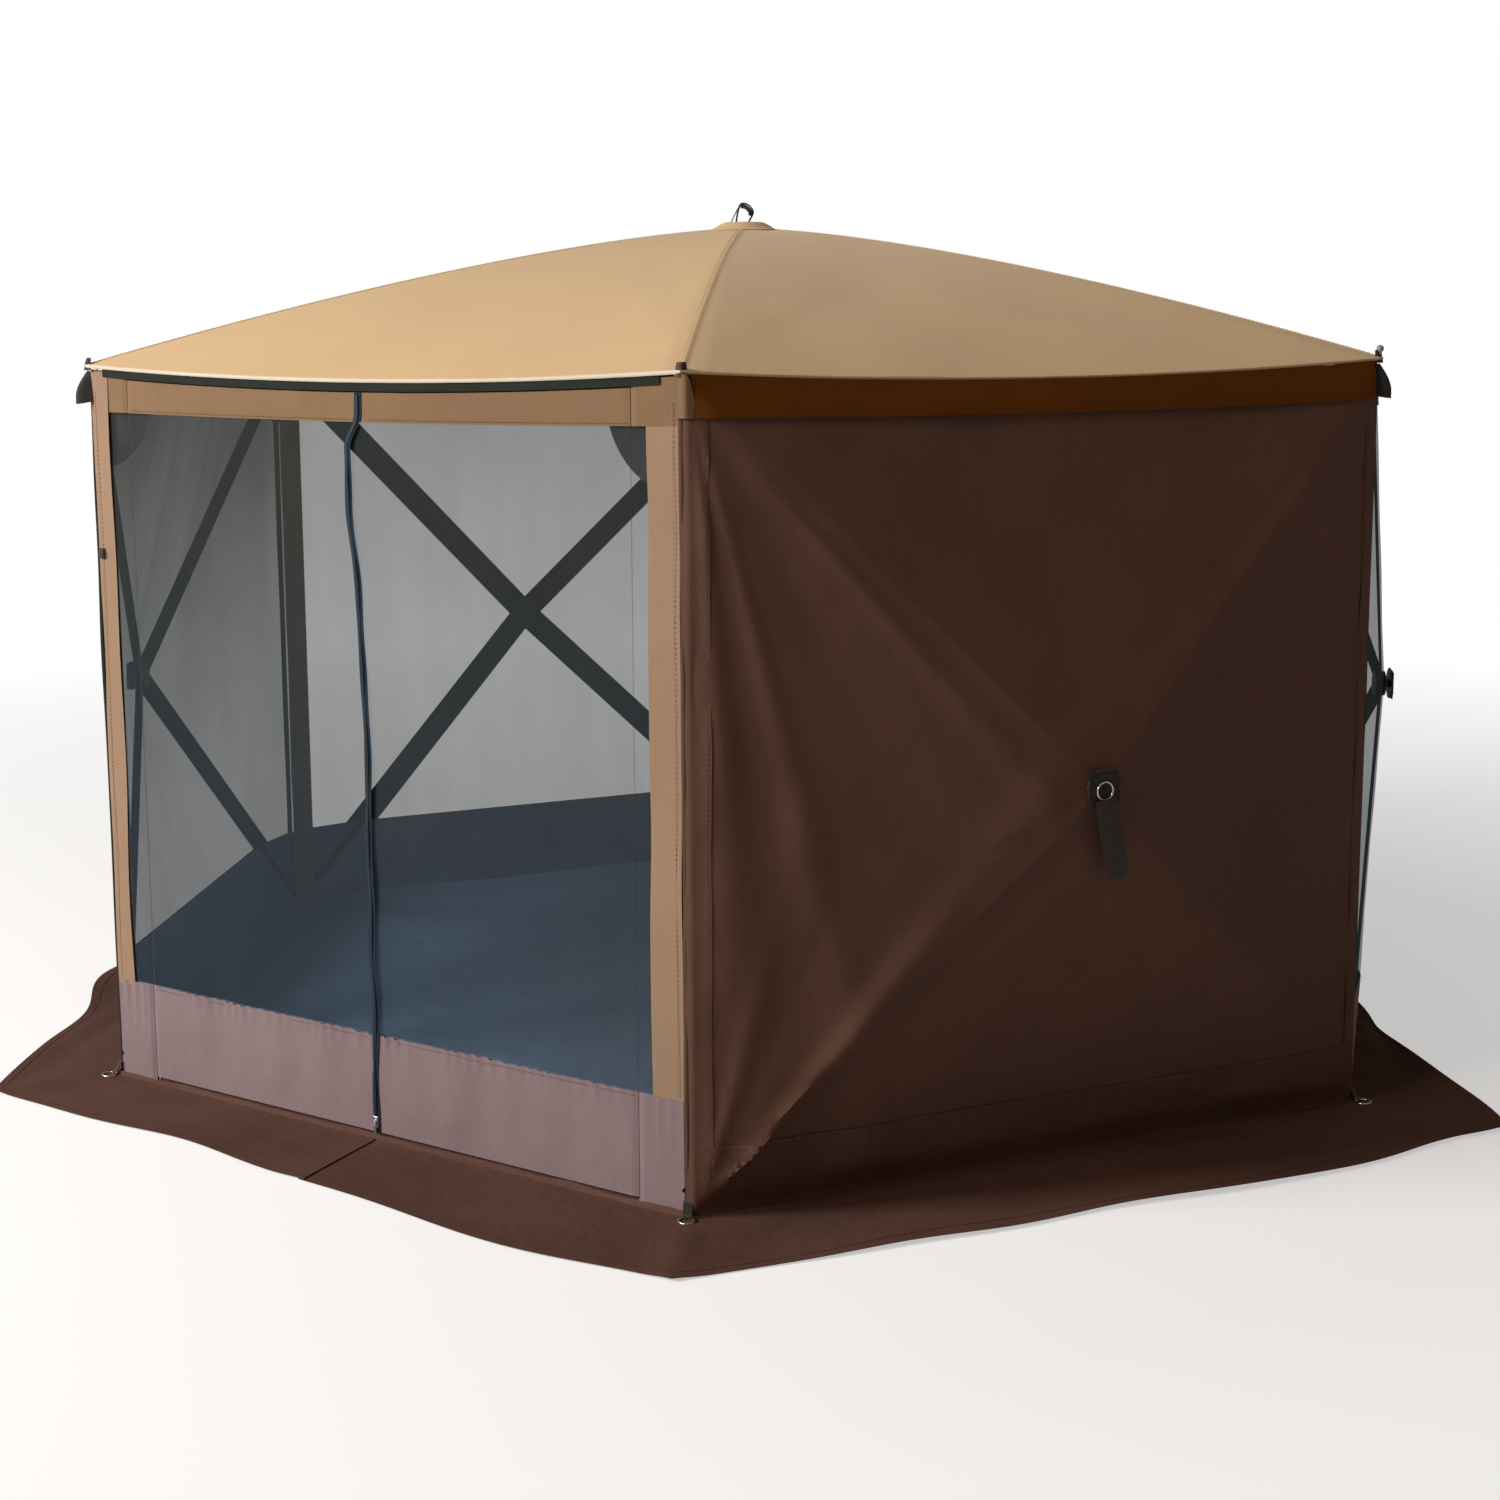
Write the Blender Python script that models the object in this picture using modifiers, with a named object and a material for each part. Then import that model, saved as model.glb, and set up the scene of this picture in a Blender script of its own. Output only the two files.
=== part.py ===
"""Six-sided pop up screen shelter: a hub frame with sewn walls, a roof, a zipped door and a ground skirt.

Metres, +Z up. The origin is on the ground under the roof hub, and the front corner points along -Y.
Corners and walls are counted anticlockwise from the front corner. Each wall has its own frame: x runs
along the wall, to the right for someone outside, y runs up and z points outwards.
"""

import math

import bmesh
import bpy
from mathutils import Matrix, Vector

# ---- driving dimensions -------------------------------------------------------------------------
CORNER_RADIUS = 1.790
WALL_HEIGHT = 1.815
APEX_HEIGHT = 2.155
HUB_BULGE = 0.214
EAVE_SAG = 0.045
SKIRT_WIDTH = 0.310
CLOTH = 0.002

# ---- frame --------------------------------------------------------------------------------------
POLE_RADIUS = 0.0053
POLE_TO_CLOTH = 0.009
PIVOT_RADIUS = 0.028
POLE_TAIL = 0.010
HUB_CLOTH_OFFSET = 0.014
HUB_HALF_GAP = 0.010
HUB_DISC = 0.004
HUB_DISC_RADIUS = 0.034
HUB_POST_RADIUS = 0.011
HUB_NECK = 0.012
HUB_PLATE_RADIUS = 0.042
HUB_HOLE = 0.038
HUB_SIDES = 16
WALL_TIP_GAP = 0.036
ROOF_TIP_GAP = 0.050
ROOF_CURVE = 1.45
ROOF_POLE_POINTS = 9

# ---- cloth --------------------------------------------------------------------------------------
CORNER_INSET = 0.020
SEAM_SETBACK = 0.016
ROOF_OVERHANG = 0.012
WALL_FOOT = 0.006
WALL_TOP_GAP = 0.010
PANEL_OFFSET = 0.008
SIDE_STEPS = 4
SKIRT_SETBACK = 0.015
SKIRT_SLIT = 0.010
FLOOR_SETBACK = 0.020
FLOOR_THICK = 0.003

# ---- corners ------------------------------------------------------------------------------------
KNOB_RADIUS = 0.013
SEAM_RADIUS = 0.004
SEAM_SIDES = 12
RING_RADIUS = 0.018
RING_WIRE = 0.0028
RING_GAP = 0.005

# ---- door ---------------------------------------------------------------------------------------
JAMB_WIDTH = 0.110
RAIL_GAP = 0.004
RAIL_HEIGHT = 0.022
LEAF_FOOT = 0.020
LEAF_GAP = 0.008
ZIP_HALF_GAP = 0.003
DOOR_THICK = 0.003
SLIDER_SIZE = (0.013, 0.030, 0.008)
SLIDER_LIFT = 0.030

# ---- straps -------------------------------------------------------------------------------------
HUB_RING_RADIUS = 0.0155
HUB_RING_WIRE = 0.002
PULL_WIDTH = 0.045
PULL_LENGTH = 0.190
ARCH_WIDTH = 0.070
ARCH_HEIGHT = 0.060
WEBBING = 0.002
ARCH_DEPTH = 0.025
GAP = 0.0005

SIDES = 6
APOTHEM = CORNER_RADIUS * math.cos(math.pi / SIDES)
HALF_WALL = CORNER_RADIUS * math.sin(math.pi / SIDES)
HUB_HEIGHT = WALL_HEIGHT / 2
HALF_RISE = HUB_HEIGHT - CORNER_INSET
HALF_DIAGONAL = math.hypot(HALF_WALL, HALF_RISE)
HUB_DEPTH = HUB_BULGE - HUB_CLOTH_OFFSET
ROOF_EDGE_RADIUS = (APOTHEM + ROOF_OVERHANG) / math.cos(math.pi / SIDES)
ROOF_HUB_HEIGHT = APEX_HEIGHT - HUB_CLOTH_OFFSET
PLATE_FACE = HUB_HALF_GAP + 2 * HUB_DISC + HUB_NECK
HUB_FRONT = PLATE_FACE + HUB_RING_WIRE + GAP

CORNERS = ("front", "right", "back_right", "back", "back_left", "left")
HUB_WALLS = ("front_right", "right", "back_right", "back_left", "left")
DOOR_WALL = 5
PANEL_WALL = 0

# name: colour, roughness, metallic
FINISHES = {
    "roof_cloth": ((0.58, 0.42, 0.26), 0.80, 0.0),
    "screen_mesh": ((0.20, 0.21, 0.22), 0.85, 0.0),
    "door_tape": ((0.38, 0.22, 0.10), 0.80, 0.0),
    "door_mesh": ((0.20, 0.21, 0.22), 0.85, 0.0),
    "panel_cloth": ((0.045, 0.022, 0.016), 0.75, 0.0),
    "skirt_cloth": ((0.06, 0.030, 0.018), 0.75, 0.0),
    "floor_cloth": ((0.06, 0.075, 0.10), 0.85, 0.0),
    "corner_tape": ((0.05, 0.028, 0.018), 0.75, 0.0),
    "pole": ((0.035, 0.035, 0.040), 0.45, 0.0),
    "hub": ((0.02, 0.02, 0.02), 0.50, 0.0),
    "ring_steel": ((0.60, 0.60, 0.62), 0.25, 1.0),
    "slider_metal": ((0.60, 0.60, 0.62), 0.30, 1.0),
    "webbing": ((0.035, 0.022, 0.018), 0.80, 0.0),
}


def clear_scene():
    for old in list(bpy.data.objects):
        bpy.data.objects.remove(old, do_unlink=True)


def make_finish(name):
    colour, roughness, metallic = FINISHES[name]
    finish = bpy.data.materials.new(name)
    finish.use_nodes = True
    shader = finish.node_tree.nodes["Principled BSDF"]
    shader.inputs["Base Color"].default_value = (*colour, 1.0)
    shader.inputs["Roughness"].default_value = roughness
    shader.inputs["Metallic"].default_value = metallic
    return finish


def add_object(name, data, finish, matrix, parent=None):
    """Link one named object, with its finish, at a place in the world."""
    obj = bpy.data.objects.new(name, data)
    if not data.materials:
        data.materials.append(finishes[finish])
    shelter.objects.link(obj)
    if parent is not None:
        obj.parent = parent
        obj.matrix_parent_inverse = parent.matrix_world.inverted()
    obj.matrix_world = matrix
    bpy.context.view_layer.update()
    return obj


# ---- frames of reference ------------------------------------------------------------------------
def corner_angle(corner):
    return math.radians(-90 + 60 * corner)


def wall_frame(wall):
    """The wall's own frame: origin on the ground at mid wall, x along it, y up, z outwards."""
    turn = Matrix.Rotation(math.radians(-60 + 60 * wall), 4, "Z")
    out = Matrix.Translation((APOTHEM, 0, 0))
    upright = Matrix(((0, 0, 1, 0), (1, 0, 0, 0), (0, 1, 0, 0), (0, 0, 0, 1)))
    return turn @ out @ upright


def hub_frame(wall):
    return wall_frame(wall) @ Matrix.Translation((0, HUB_HEIGHT, HUB_DEPTH))


def pole_frame(hub, angle):
    """A pole's hinge on its hub: x runs outwards along the hub's face, z is the hub's axis."""
    return hub @ Matrix.Rotation(angle, 4, "Z") @ Matrix.Translation((PIVOT_RADIUS, 0, 0))


# ---- shape makers -------------------------------------------------------------------------------
def loft(rings):
    """Open cloth between closed loops of points, from the hole in its middle to its edge."""
    cage = bmesh.new()
    loops = [[cage.verts.new(point) for point in ring] for ring in rings]
    for inner, outer in zip(loops, loops[1:]):
        for index in range(len(inner)):
            after = (index + 1) % len(inner)
            cage.faces.new((inner[index], outer[index], outer[after], inner[after]))
    bmesh.ops.recalc_face_normals(cage, faces=cage.faces)
    return cage


def to_mesh(name, cage):
    mesh = bpy.data.meshes.new(name)
    cage.to_mesh(mesh)
    cage.free()
    return mesh


def thicken(obj, thickness):
    solid = obj.modifiers.new("thickness", "SOLIDIFY")
    solid.thickness = thickness
    solid.offset = 0.0


def turned_mesh(name, profile):
    """An open profile of (radius, height) pairs in the XZ plane, top to bottom."""
    mesh = bpy.data.meshes.new(name)
    points = [(radius, 0, height) for radius, height in profile]
    edges = [(index, index + 1) for index in range(len(points) - 1)]
    mesh.from_pydata(points, edges, [])
    return mesh


def turn(obj, sides):
    screw = obj.modifiers.new("turn", "SCREW")
    screw.steps = sides
    screw.render_steps = sides
    screw.use_merge_vertices = True
    screw.merge_threshold = 0.00005


def tube_curve(name, points, radius):
    curve = bpy.data.curves.new(name, "CURVE")
    curve.dimensions = "3D"
    curve.resolution_u = 1
    curve.render_resolution_u = 0
    curve.bevel_depth = radius
    curve.bevel_resolution = 2
    curve.use_fill_caps = True
    spline = curve.splines.new("POLY")
    spline.points.add(len(points) - 1)
    for target, point in zip(spline.points, points):
        target.co = (*point, 1)
    return curve


def plate_curve(name, outline, thickness):
    """A flat outline in the XY plane, thickened evenly to both sides along z."""
    curve = bpy.data.curves.new(name, "CURVE")
    curve.dimensions = "2D"
    curve.fill_mode = "BOTH"
    curve.resolution_u = 1
    curve.render_resolution_u = 0
    curve.extrude = thickness / 2
    spline = curve.splines.new("POLY")
    spline.points.add(len(outline) - 1)
    for target, (x, y) in zip(spline.points, outline):
        target.co = (x, y, 0, 1)
    spline.use_cyclic_u = True
    return curve


def plate_object(name, outline, thickness, finish, matrix, parent=None):
    """A thickened outline as a welded mesh, so that its rims and faces are one closed body."""
    curve = plate_curve(name, outline, thickness)
    guide = bpy.data.objects.new(name + "_outline", curve)
    shelter.objects.link(guide)
    bpy.context.view_layer.update()
    flat = guide.evaluated_get(bpy.context.evaluated_depsgraph_get())
    mesh = bpy.data.meshes.new_from_object(flat)
    bpy.data.objects.remove(guide, do_unlink=True)
    weld = bmesh.new()
    weld.from_mesh(mesh)
    bmesh.ops.remove_doubles(weld, verts=weld.verts, dist=0.00001)
    bmesh.ops.recalc_face_normals(weld, faces=weld.faces)
    weld.to_mesh(mesh)
    weld.free()
    return add_object(name, mesh, finish, matrix, parent)


def ring_object(name, radius, wire, finish, matrix, parent=None):
    bpy.ops.mesh.primitive_torus_add(
        major_segments=14, minor_segments=6, major_radius=radius, minor_radius=wire
    )
    mesh = bpy.context.object.data
    bpy.data.objects.remove(bpy.context.object, do_unlink=True)
    return add_object(name, mesh, finish, matrix, parent)


# ---- cloth shapes -------------------------------------------------------------------------------
def eave_drop(x):
    """How far the roof's edge hangs below the corners, x along a wall from its middle."""
    return EAVE_SAG * (1 - (x / HALF_WALL) ** 2)


def side_steps():
    """Places along one side, from its start up to just before its end."""
    return [-1 + 2 * step / SIDE_STEPS for step in range(SIDE_STEPS)]


def wall_ring(share, depth):
    """One square loop of a wall's cloth, at a share of the way from the hub to the corners."""
    wide = HALF_WALL * share
    tall = HALF_RISE * share
    sag = EAVE_SAG * share ** 2
    bottom = [(u * wide, HUB_HEIGHT - tall, depth) for u in side_steps()]
    right = [(wide, HUB_HEIGHT + u * tall, depth) for u in side_steps()]
    top = [(-u * wide, HUB_HEIGHT + tall - sag * (1 - u * u), depth) for u in side_steps()]
    left = [(-wide, HUB_HEIGHT - u * tall, depth) for u in side_steps()]
    return bottom + right + top + left


def wall_border(depth):
    """The edge of a wall's cloth, from the ground to the eave and between the corner seams."""
    wide = HALF_WALL - SEAM_SETBACK
    crown = WALL_HEIGHT - WALL_TOP_GAP
    middle = (WALL_FOOT + crown) / 2
    tall = (crown - WALL_FOOT) / 2
    bottom = [(u * wide, WALL_FOOT, depth) for u in side_steps()]
    right = [(wide, middle + u * tall, depth) for u in side_steps()]
    top = [(-u * wide, crown - EAVE_SAG * (1 - u * u), depth) for u in side_steps()]
    left = [(-wide, middle - u * tall, depth) for u in side_steps()]
    return bottom + right + top + left


def wall_cloth(offset):
    """A wall's cloth, a shallow pyramid pushed out by its hub, offset outwards by a layer."""
    edge_share = 1 - SEAM_SETBACK / HALF_WALL
    shares = (HUB_HOLE / HALF_WALL, 0.35, 0.68, edge_share)
    rings = [wall_ring(share, HUB_BULGE * (1 - share) + offset) for share in shares]
    return loft(rings + [wall_border(offset)])


def ridge_height(radius):
    """Height of the roof cloth over a roof pole."""
    return APEX_HEIGHT - (APEX_HEIGHT - WALL_HEIGHT) * (radius / ROOF_EDGE_RADIUS) ** ROOF_CURVE


def roof_ring(share):
    """One six-sided loop of the roof, which sags between the poles towards the eave."""
    radius = ROOF_EDGE_RADIUS * share
    loop = []
    for corner in range(SIDES):
        start = Vector((math.cos(corner_angle(corner)), math.sin(corner_angle(corner))))
        end = Vector((math.cos(corner_angle(corner + 1)), math.sin(corner_angle(corner + 1))))
        for u in side_steps():
            x, y = radius * start.lerp(end, (u + 1) / 2)
            loop.append((x, y, ridge_height(radius) - EAVE_SAG * share ** 2 * (1 - u * u)))
    return loop


# ---- sub-parts ----------------------------------------------------------------------------------
def hub_profile():
    """A spool whose slot holds the pole ends, and a plate that keeps the cloth on its neck."""
    disc = HUB_HALF_GAP + HUB_DISC
    neck = disc + HUB_NECK
    return (
        (0, PLATE_FACE),
        (HUB_PLATE_RADIUS, PLATE_FACE),
        (HUB_PLATE_RADIUS, neck),
        (HUB_POST_RADIUS, neck),
        (HUB_POST_RADIUS, disc),
        (HUB_DISC_RADIUS, disc),
        (HUB_DISC_RADIUS, HUB_HALF_GAP),
        (HUB_POST_RADIUS, HUB_HALF_GAP),
        (HUB_POST_RADIUS, -HUB_HALF_GAP),
        (HUB_DISC_RADIUS, -HUB_HALF_GAP),
        (HUB_DISC_RADIUS, -disc),
        (0, -disc),
    )


def add_hub(name, matrix, mesh):
    hub = add_object(name, mesh, "hub", matrix)
    turn(hub, HUB_SIDES)
    return hub


def add_wall_poles(wall, label, hub):
    """Four straight poles from the hub to the wall's corners, hinged in the hub's slot."""
    lean = math.atan2(HALF_RISE, HALF_WALL)
    start_depth = HUB_BULGE * (1 - PIVOT_RADIUS / HALF_DIAGONAL) - POLE_TO_CLOTH
    end = HALF_DIAGONAL - WALL_TIP_GAP
    end_depth = HUB_BULGE * (1 - end / HALF_DIAGONAL) - POLE_TO_CLOTH
    slope = Vector((end - PIVOT_RADIUS, 0, end_depth - start_depth))
    points = [-slope.normalized() * POLE_TAIL, slope]
    ends = {
        "upper_right": lean,
        "upper_left": math.pi - lean,
        "lower_left": math.pi + lean,
        "lower_right": -lean,
    }
    for end_name, angle in ends.items():
        name = f"pole_{label}_{end_name}"
        matrix = pole_frame(hub_frame(wall), angle)
        add_object(name, tube_curve(name, points, POLE_RADIUS), "pole", matrix, hub)


def add_roof_poles(hub):
    """Six bowed poles from the roof hub to the corners, following the roof's ridges."""
    end = CORNER_RADIUS - ROOF_TIP_GAP
    top = ridge_height(PIVOT_RADIUS)
    points = [(-POLE_TAIL, 0, 0)]
    for step in range(ROOF_POLE_POINTS):
        radius = PIVOT_RADIUS + (end - PIVOT_RADIUS) * step / (ROOF_POLE_POINTS - 1)
        points.append((radius - PIVOT_RADIUS, 0, ridge_height(radius) - top))
    for corner, label in enumerate(CORNERS):
        name = f"roof_pole_{label}"
        matrix = pole_frame(Matrix.Translation((0, 0, ROOF_HUB_HEIGHT)), corner_angle(corner))
        add_object(name, tube_curve(name, points, POLE_RADIUS), "pole", matrix, hub)


def add_roof():
    shares = [HUB_HOLE / math.cos(math.pi / SIDES) / ROOF_EDGE_RADIUS]
    shares += [0.15, 0.32, 0.5, 0.68, 0.85, 1.0]
    mesh = to_mesh("roof_canopy", loft([roof_ring(share) for share in shares]))
    canopy = add_object("roof_canopy", mesh, "roof_cloth", Matrix.Identity(4))
    thicken(canopy, CLOTH)


def add_screens():
    mesh = to_mesh("wall_screen", wall_cloth(0.0))
    for wall, label in enumerate(HUB_WALLS):
        screen = add_object(f"screen_{label}", mesh, "screen_mesh", wall_frame(wall))
        thicken(screen, CLOTH)


def add_wind_panel():
    """The removable solid panel that covers one wall from the eave to the ground."""
    mesh = to_mesh("wind_panel", wall_cloth(PANEL_OFFSET))
    thicken(add_object("wind_panel", mesh, "panel_cloth", wall_frame(PANEL_WALL)), CLOTH)


def eave_line(start, end, below):
    """Points along the sagging eave between two places on a wall, a fixed distance below it."""
    steps = 2 * SIDE_STEPS
    places = [start + (end - start) * step / steps for step in range(steps + 1)]
    return [(x, WALL_HEIGHT - eave_drop(x) - below) for x in places]


def add_door():
    """The fixed frame, two zipped leaves that swing outwards on the jambs, and the zip's slider."""
    frame = wall_frame(DOOR_WALL)
    outer = HALF_WALL - SEAM_SETBACK
    inner = outer - JAMB_WIDTH
    outline = [(-outer, WALL_FOOT)] + eave_line(-outer, outer, WALL_TOP_GAP) + [(outer, WALL_FOOT)]
    rail_under = WALL_TOP_GAP + RAIL_HEIGHT
    outline += [(inner, WALL_FOOT)] + eave_line(inner, -inner, rail_under) + [(-inner, WALL_FOOT)]
    plate_object("door_frame", outline, DOOR_THICK, "door_tape", frame)

    hinge = inner - LEAF_GAP / 2
    for label, side in (("left", -1), ("right", 1)):
        far = side * (inner - LEAF_GAP)
        near = side * ZIP_HALF_GAP
        top = eave_line(far, near, rail_under + RAIL_GAP)
        shape = [(far, LEAF_FOOT)] + top + [(near, LEAF_FOOT)]
        shape = [(x - side * hinge, y) for x, y in shape]
        matrix = frame @ Matrix.Translation((side * hinge, 0, 0))
        leaf = plate_object(f"door_leaf_{label}", shape, DOOR_THICK, "door_mesh", matrix)
        if label == "left":
            add_slider(frame, leaf)


def add_slider(frame, leaf):
    wide, tall, deep = SLIDER_SIZE
    cage = bmesh.new()
    bmesh.ops.create_cube(cage, size=1.0)
    bmesh.ops.scale(cage, vec=SLIDER_SIZE, verts=cage.verts)
    mesh = to_mesh("zip_slider", cage)
    place = Matrix.Translation((-wide / 2, SLIDER_LIFT + tall / 2, DOOR_THICK / 2 + GAP + deep / 2))
    slider = add_object("zip_slider", mesh, "slider_metal", frame @ place, leaf)
    edge = slider.modifiers.new("soft_edges", "BEVEL")
    edge.width = 0.002
    edge.segments = 2


def seam_profile():
    """A corner tape with a knob at its foot and one at its top, where pole ends press."""
    steps = 4
    rise = WALL_HEIGHT - 2 * CORNER_INSET
    start = math.asin(SEAM_RADIUS / KNOB_RADIUS)
    arc = [start + (math.pi - start) * step / steps for step in range(steps + 1)]
    knob = [(KNOB_RADIUS * math.sin(angle), KNOB_RADIUS * math.cos(angle)) for angle in arc]
    knob[-1] = (0, -KNOB_RADIUS)
    upper = [(radius, KNOB_RADIUS + rise - height) for radius, height in reversed(knob)]
    lower = [(radius, KNOB_RADIUS + height) for radius, height in knob]
    return upper + lower


def add_corners():
    """A seam with its knobs at each corner, and a stake ring that lies on the skirt there."""
    seam_mesh = turned_mesh("corner_seam", seam_profile())
    ring_place = CORNER_RADIUS + KNOB_RADIUS + RING_GAP
    ring_height = FLOOR_THICK + RING_WIRE + GAP
    for corner, label in enumerate(CORNERS):
        around = Matrix.Rotation(corner_angle(corner), 4, "Z")
        seam_matrix = around @ Matrix.Translation((CORNER_RADIUS, 0, 0))
        turn(add_object(f"corner_seam_{label}", seam_mesh, "corner_tape", seam_matrix), SEAM_SIDES)
        ring_matrix = around @ Matrix.Translation((ring_place + RING_RADIUS, 0, ring_height))
        ring_object(f"stake_ring_{label}", RING_RADIUS, RING_WIRE, "ring_steel", ring_matrix)


def add_ground_cloth():
    """The flat skirt outside the walls, slit at the zip, and the thin floor inside them."""
    inner = (APOTHEM + SKIRT_SETBACK) / math.cos(math.pi / SIDES)
    outer = (APOTHEM + SKIRT_WIDTH) / math.cos(math.pi / SIDES)
    angles = [corner_angle(corner) for corner in range(SIDES)]
    door = wall_frame(DOOR_WALL)
    slit_before = [door @ Vector((-SKIRT_SLIT / 2, 0, depth)) for depth in (SKIRT_WIDTH, SKIRT_SETBACK)]
    slit_after = [door @ Vector((SKIRT_SLIT / 2, 0, depth)) for depth in (SKIRT_WIDTH, SKIRT_SETBACK)]
    outline = [slit_after[0].xy]
    outline += [(outer * math.cos(angle), outer * math.sin(angle)) for angle in angles]
    outline += [slit_before[0].xy, slit_before[1].xy]
    outline += [(inner * math.cos(angle), inner * math.sin(angle)) for angle in reversed(angles)]
    outline += [slit_after[1].xy]
    middle = Matrix.Translation((0, 0, FLOOR_THICK / 2))
    plate_object("skirt", outline, FLOOR_THICK, "skirt_cloth", middle)

    floor = (APOTHEM - FLOOR_SETBACK) / math.cos(math.pi / SIDES)
    shape = [(floor * math.cos(angle), floor * math.sin(angle)) for angle in angles]
    plate_object("ground_sheet", shape, FLOOR_THICK, "floor_cloth", middle)


def add_roof_strap(hub):
    """A webbing arch that stands on the roof hub's plate, for pulling the roof up."""
    steps = 10
    arc = [math.pi * step / steps for step in range(steps + 1)]
    outer = [(ARCH_WIDTH / 2 * math.cos(a), ARCH_HEIGHT * math.sin(a)) for a in arc]
    inner_width = ARCH_WIDTH / 2 - WEBBING
    inner_height = ARCH_HEIGHT - WEBBING
    inner = [(inner_width * math.cos(a), inner_height * math.sin(a)) for a in reversed(arc)]
    lift = Matrix.Translation((0, 0, ROOF_HUB_HEIGHT + PLATE_FACE + GAP))
    upright = Matrix.Rotation(math.pi / 2, 4, "X")
    plate_object("roof_strap", outer + inner, ARCH_DEPTH, "webbing", lift @ upright, hub)


def add_hub_pull(hub):
    """The steel ring on the panelled wall's hub plate, and the webbing strap that hangs from it."""
    face = hub_frame(PANEL_WALL) @ Matrix.Translation((0, 0, HUB_FRONT))
    ring = ring_object("hub_ring", HUB_RING_RADIUS, HUB_RING_WIRE, "ring_steel", face, hub)
    half = PULL_WIDTH / 2
    top = -HUB_RING_RADIUS - HUB_RING_WIRE - 2 * GAP
    foot = top - PULL_LENGTH
    hang = [(-half, top), (-half, foot), (half, foot), (half, top)]
    plate_object("pull_strap", hang, WEBBING, "webbing", face, ring)


def build():
    spool = turned_mesh("hub_spool", hub_profile())
    roof_hub = add_hub("roof_hub", Matrix.Translation((0, 0, ROOF_HUB_HEIGHT)), spool)
    add_roof_poles(roof_hub)
    add_roof_strap(roof_hub)
    for wall, label in enumerate(HUB_WALLS):
        hub = add_hub(f"hub_{label}", hub_frame(wall), spool)
        add_wall_poles(wall, label, hub)
        if wall == PANEL_WALL:
            add_hub_pull(hub)
    add_roof()
    add_screens()
    add_wind_panel()
    add_door()
    add_corners()
    add_ground_cloth()


clear_scene()
shelter = bpy.data.collections.new("screen_shelter")
bpy.context.scene.collection.children.link(shelter)
finishes = {name: make_finish(name) for name in FINISHES}
build()
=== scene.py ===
"""Looks of the six-sided pop up screen shelter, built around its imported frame. Metres, +Z up.

Corners and walls are counted anticlockwise from the front corner, which points along -Y. Each wall has
its own frame: x runs along the wall, to the right for someone outside, y runs up, and z is the depth
outwards. Cloth is made as grids of points, each with a flat place in metres in its "cloth" map.
"""

import math

import bmesh
import bpy
import numpy as np
from mathutils import Matrix, Vector


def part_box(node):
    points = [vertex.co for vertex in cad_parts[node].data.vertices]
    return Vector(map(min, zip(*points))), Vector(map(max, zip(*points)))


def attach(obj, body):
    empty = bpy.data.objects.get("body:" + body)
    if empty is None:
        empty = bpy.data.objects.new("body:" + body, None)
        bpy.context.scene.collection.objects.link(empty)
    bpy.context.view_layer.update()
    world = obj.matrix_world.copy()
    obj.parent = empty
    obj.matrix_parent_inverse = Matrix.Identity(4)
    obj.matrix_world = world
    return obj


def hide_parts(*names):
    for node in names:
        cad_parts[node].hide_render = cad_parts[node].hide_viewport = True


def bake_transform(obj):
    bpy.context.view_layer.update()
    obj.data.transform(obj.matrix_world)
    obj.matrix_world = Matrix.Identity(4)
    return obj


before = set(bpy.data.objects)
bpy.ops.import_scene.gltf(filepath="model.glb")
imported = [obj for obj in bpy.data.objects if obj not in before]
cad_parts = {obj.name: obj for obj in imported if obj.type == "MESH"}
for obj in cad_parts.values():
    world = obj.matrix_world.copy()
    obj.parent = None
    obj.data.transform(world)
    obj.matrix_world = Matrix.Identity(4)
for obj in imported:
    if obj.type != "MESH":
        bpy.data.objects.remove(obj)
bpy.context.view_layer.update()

# ---- sizes that the frame's boxes don't show
SIDES = 6
SECTOR = math.radians(60)
SIDE_RATIO = math.cos(math.pi / SIDES)
EAVE_SAG = 0.027
ROOF_CURVE = 1.45
CORNER_INSET = 0.020
SEAM_SETBACK = 0.016
PLATE_ABOVE_CLOTH = 0.016
WALL_FOOT = 0.006
WALL_TOP_GAP = 0.010
DOOR_WALL = 5
PANEL_WALL = 0
CORNERS = ("front", "right", "back_right", "back", "back_left", "left")
HUB_WALLS = ("front_right", "right", "back_right", "back_left", "left")
BOTH_SIDES = ((-1, "left"), (1, "right"))
ENDS = {"lower_left": (-1, -1), "lower_right": (1, -1), "upper_right": (1, 1), "upper_left": (-1, 1)}

# ---- sizes read from the frame
seam_low, seam_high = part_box("corner_seam_front")
hub_low, hub_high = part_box("hub_right")
slider_low, slider_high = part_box("zip_slider")
ROOF_PLATE_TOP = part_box("roof_hub")[1].z

CORNER_RADIUS = -(seam_low.y + seam_high.y) / 2
APOTHEM = CORNER_RADIUS * SIDE_RATIO
HALF_WALL = CORNER_RADIUS * math.sin(math.pi / SIDES)
HUB_HEIGHT = (hub_low.z + hub_high.z) / 2
WALL_HEIGHT = 2 * HUB_HEIGHT
HALF_RISE = HUB_HEIGHT - CORNER_INSET
PLATE_DEPTH = hub_high.x - APOTHEM
HUB_BULGE = PLATE_DEPTH - PLATE_ABOVE_CLOTH
APEX_HEIGHT = ROOF_PLATE_TOP - PLATE_ABOVE_CLOTH
ROOF_EDGE_RADIUS = -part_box("roof_canopy")[0].y
SKIRT_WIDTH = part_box("skirt")[1].x - APOTHEM
EDGE_X = HALF_WALL - SEAM_SETBACK

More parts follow.
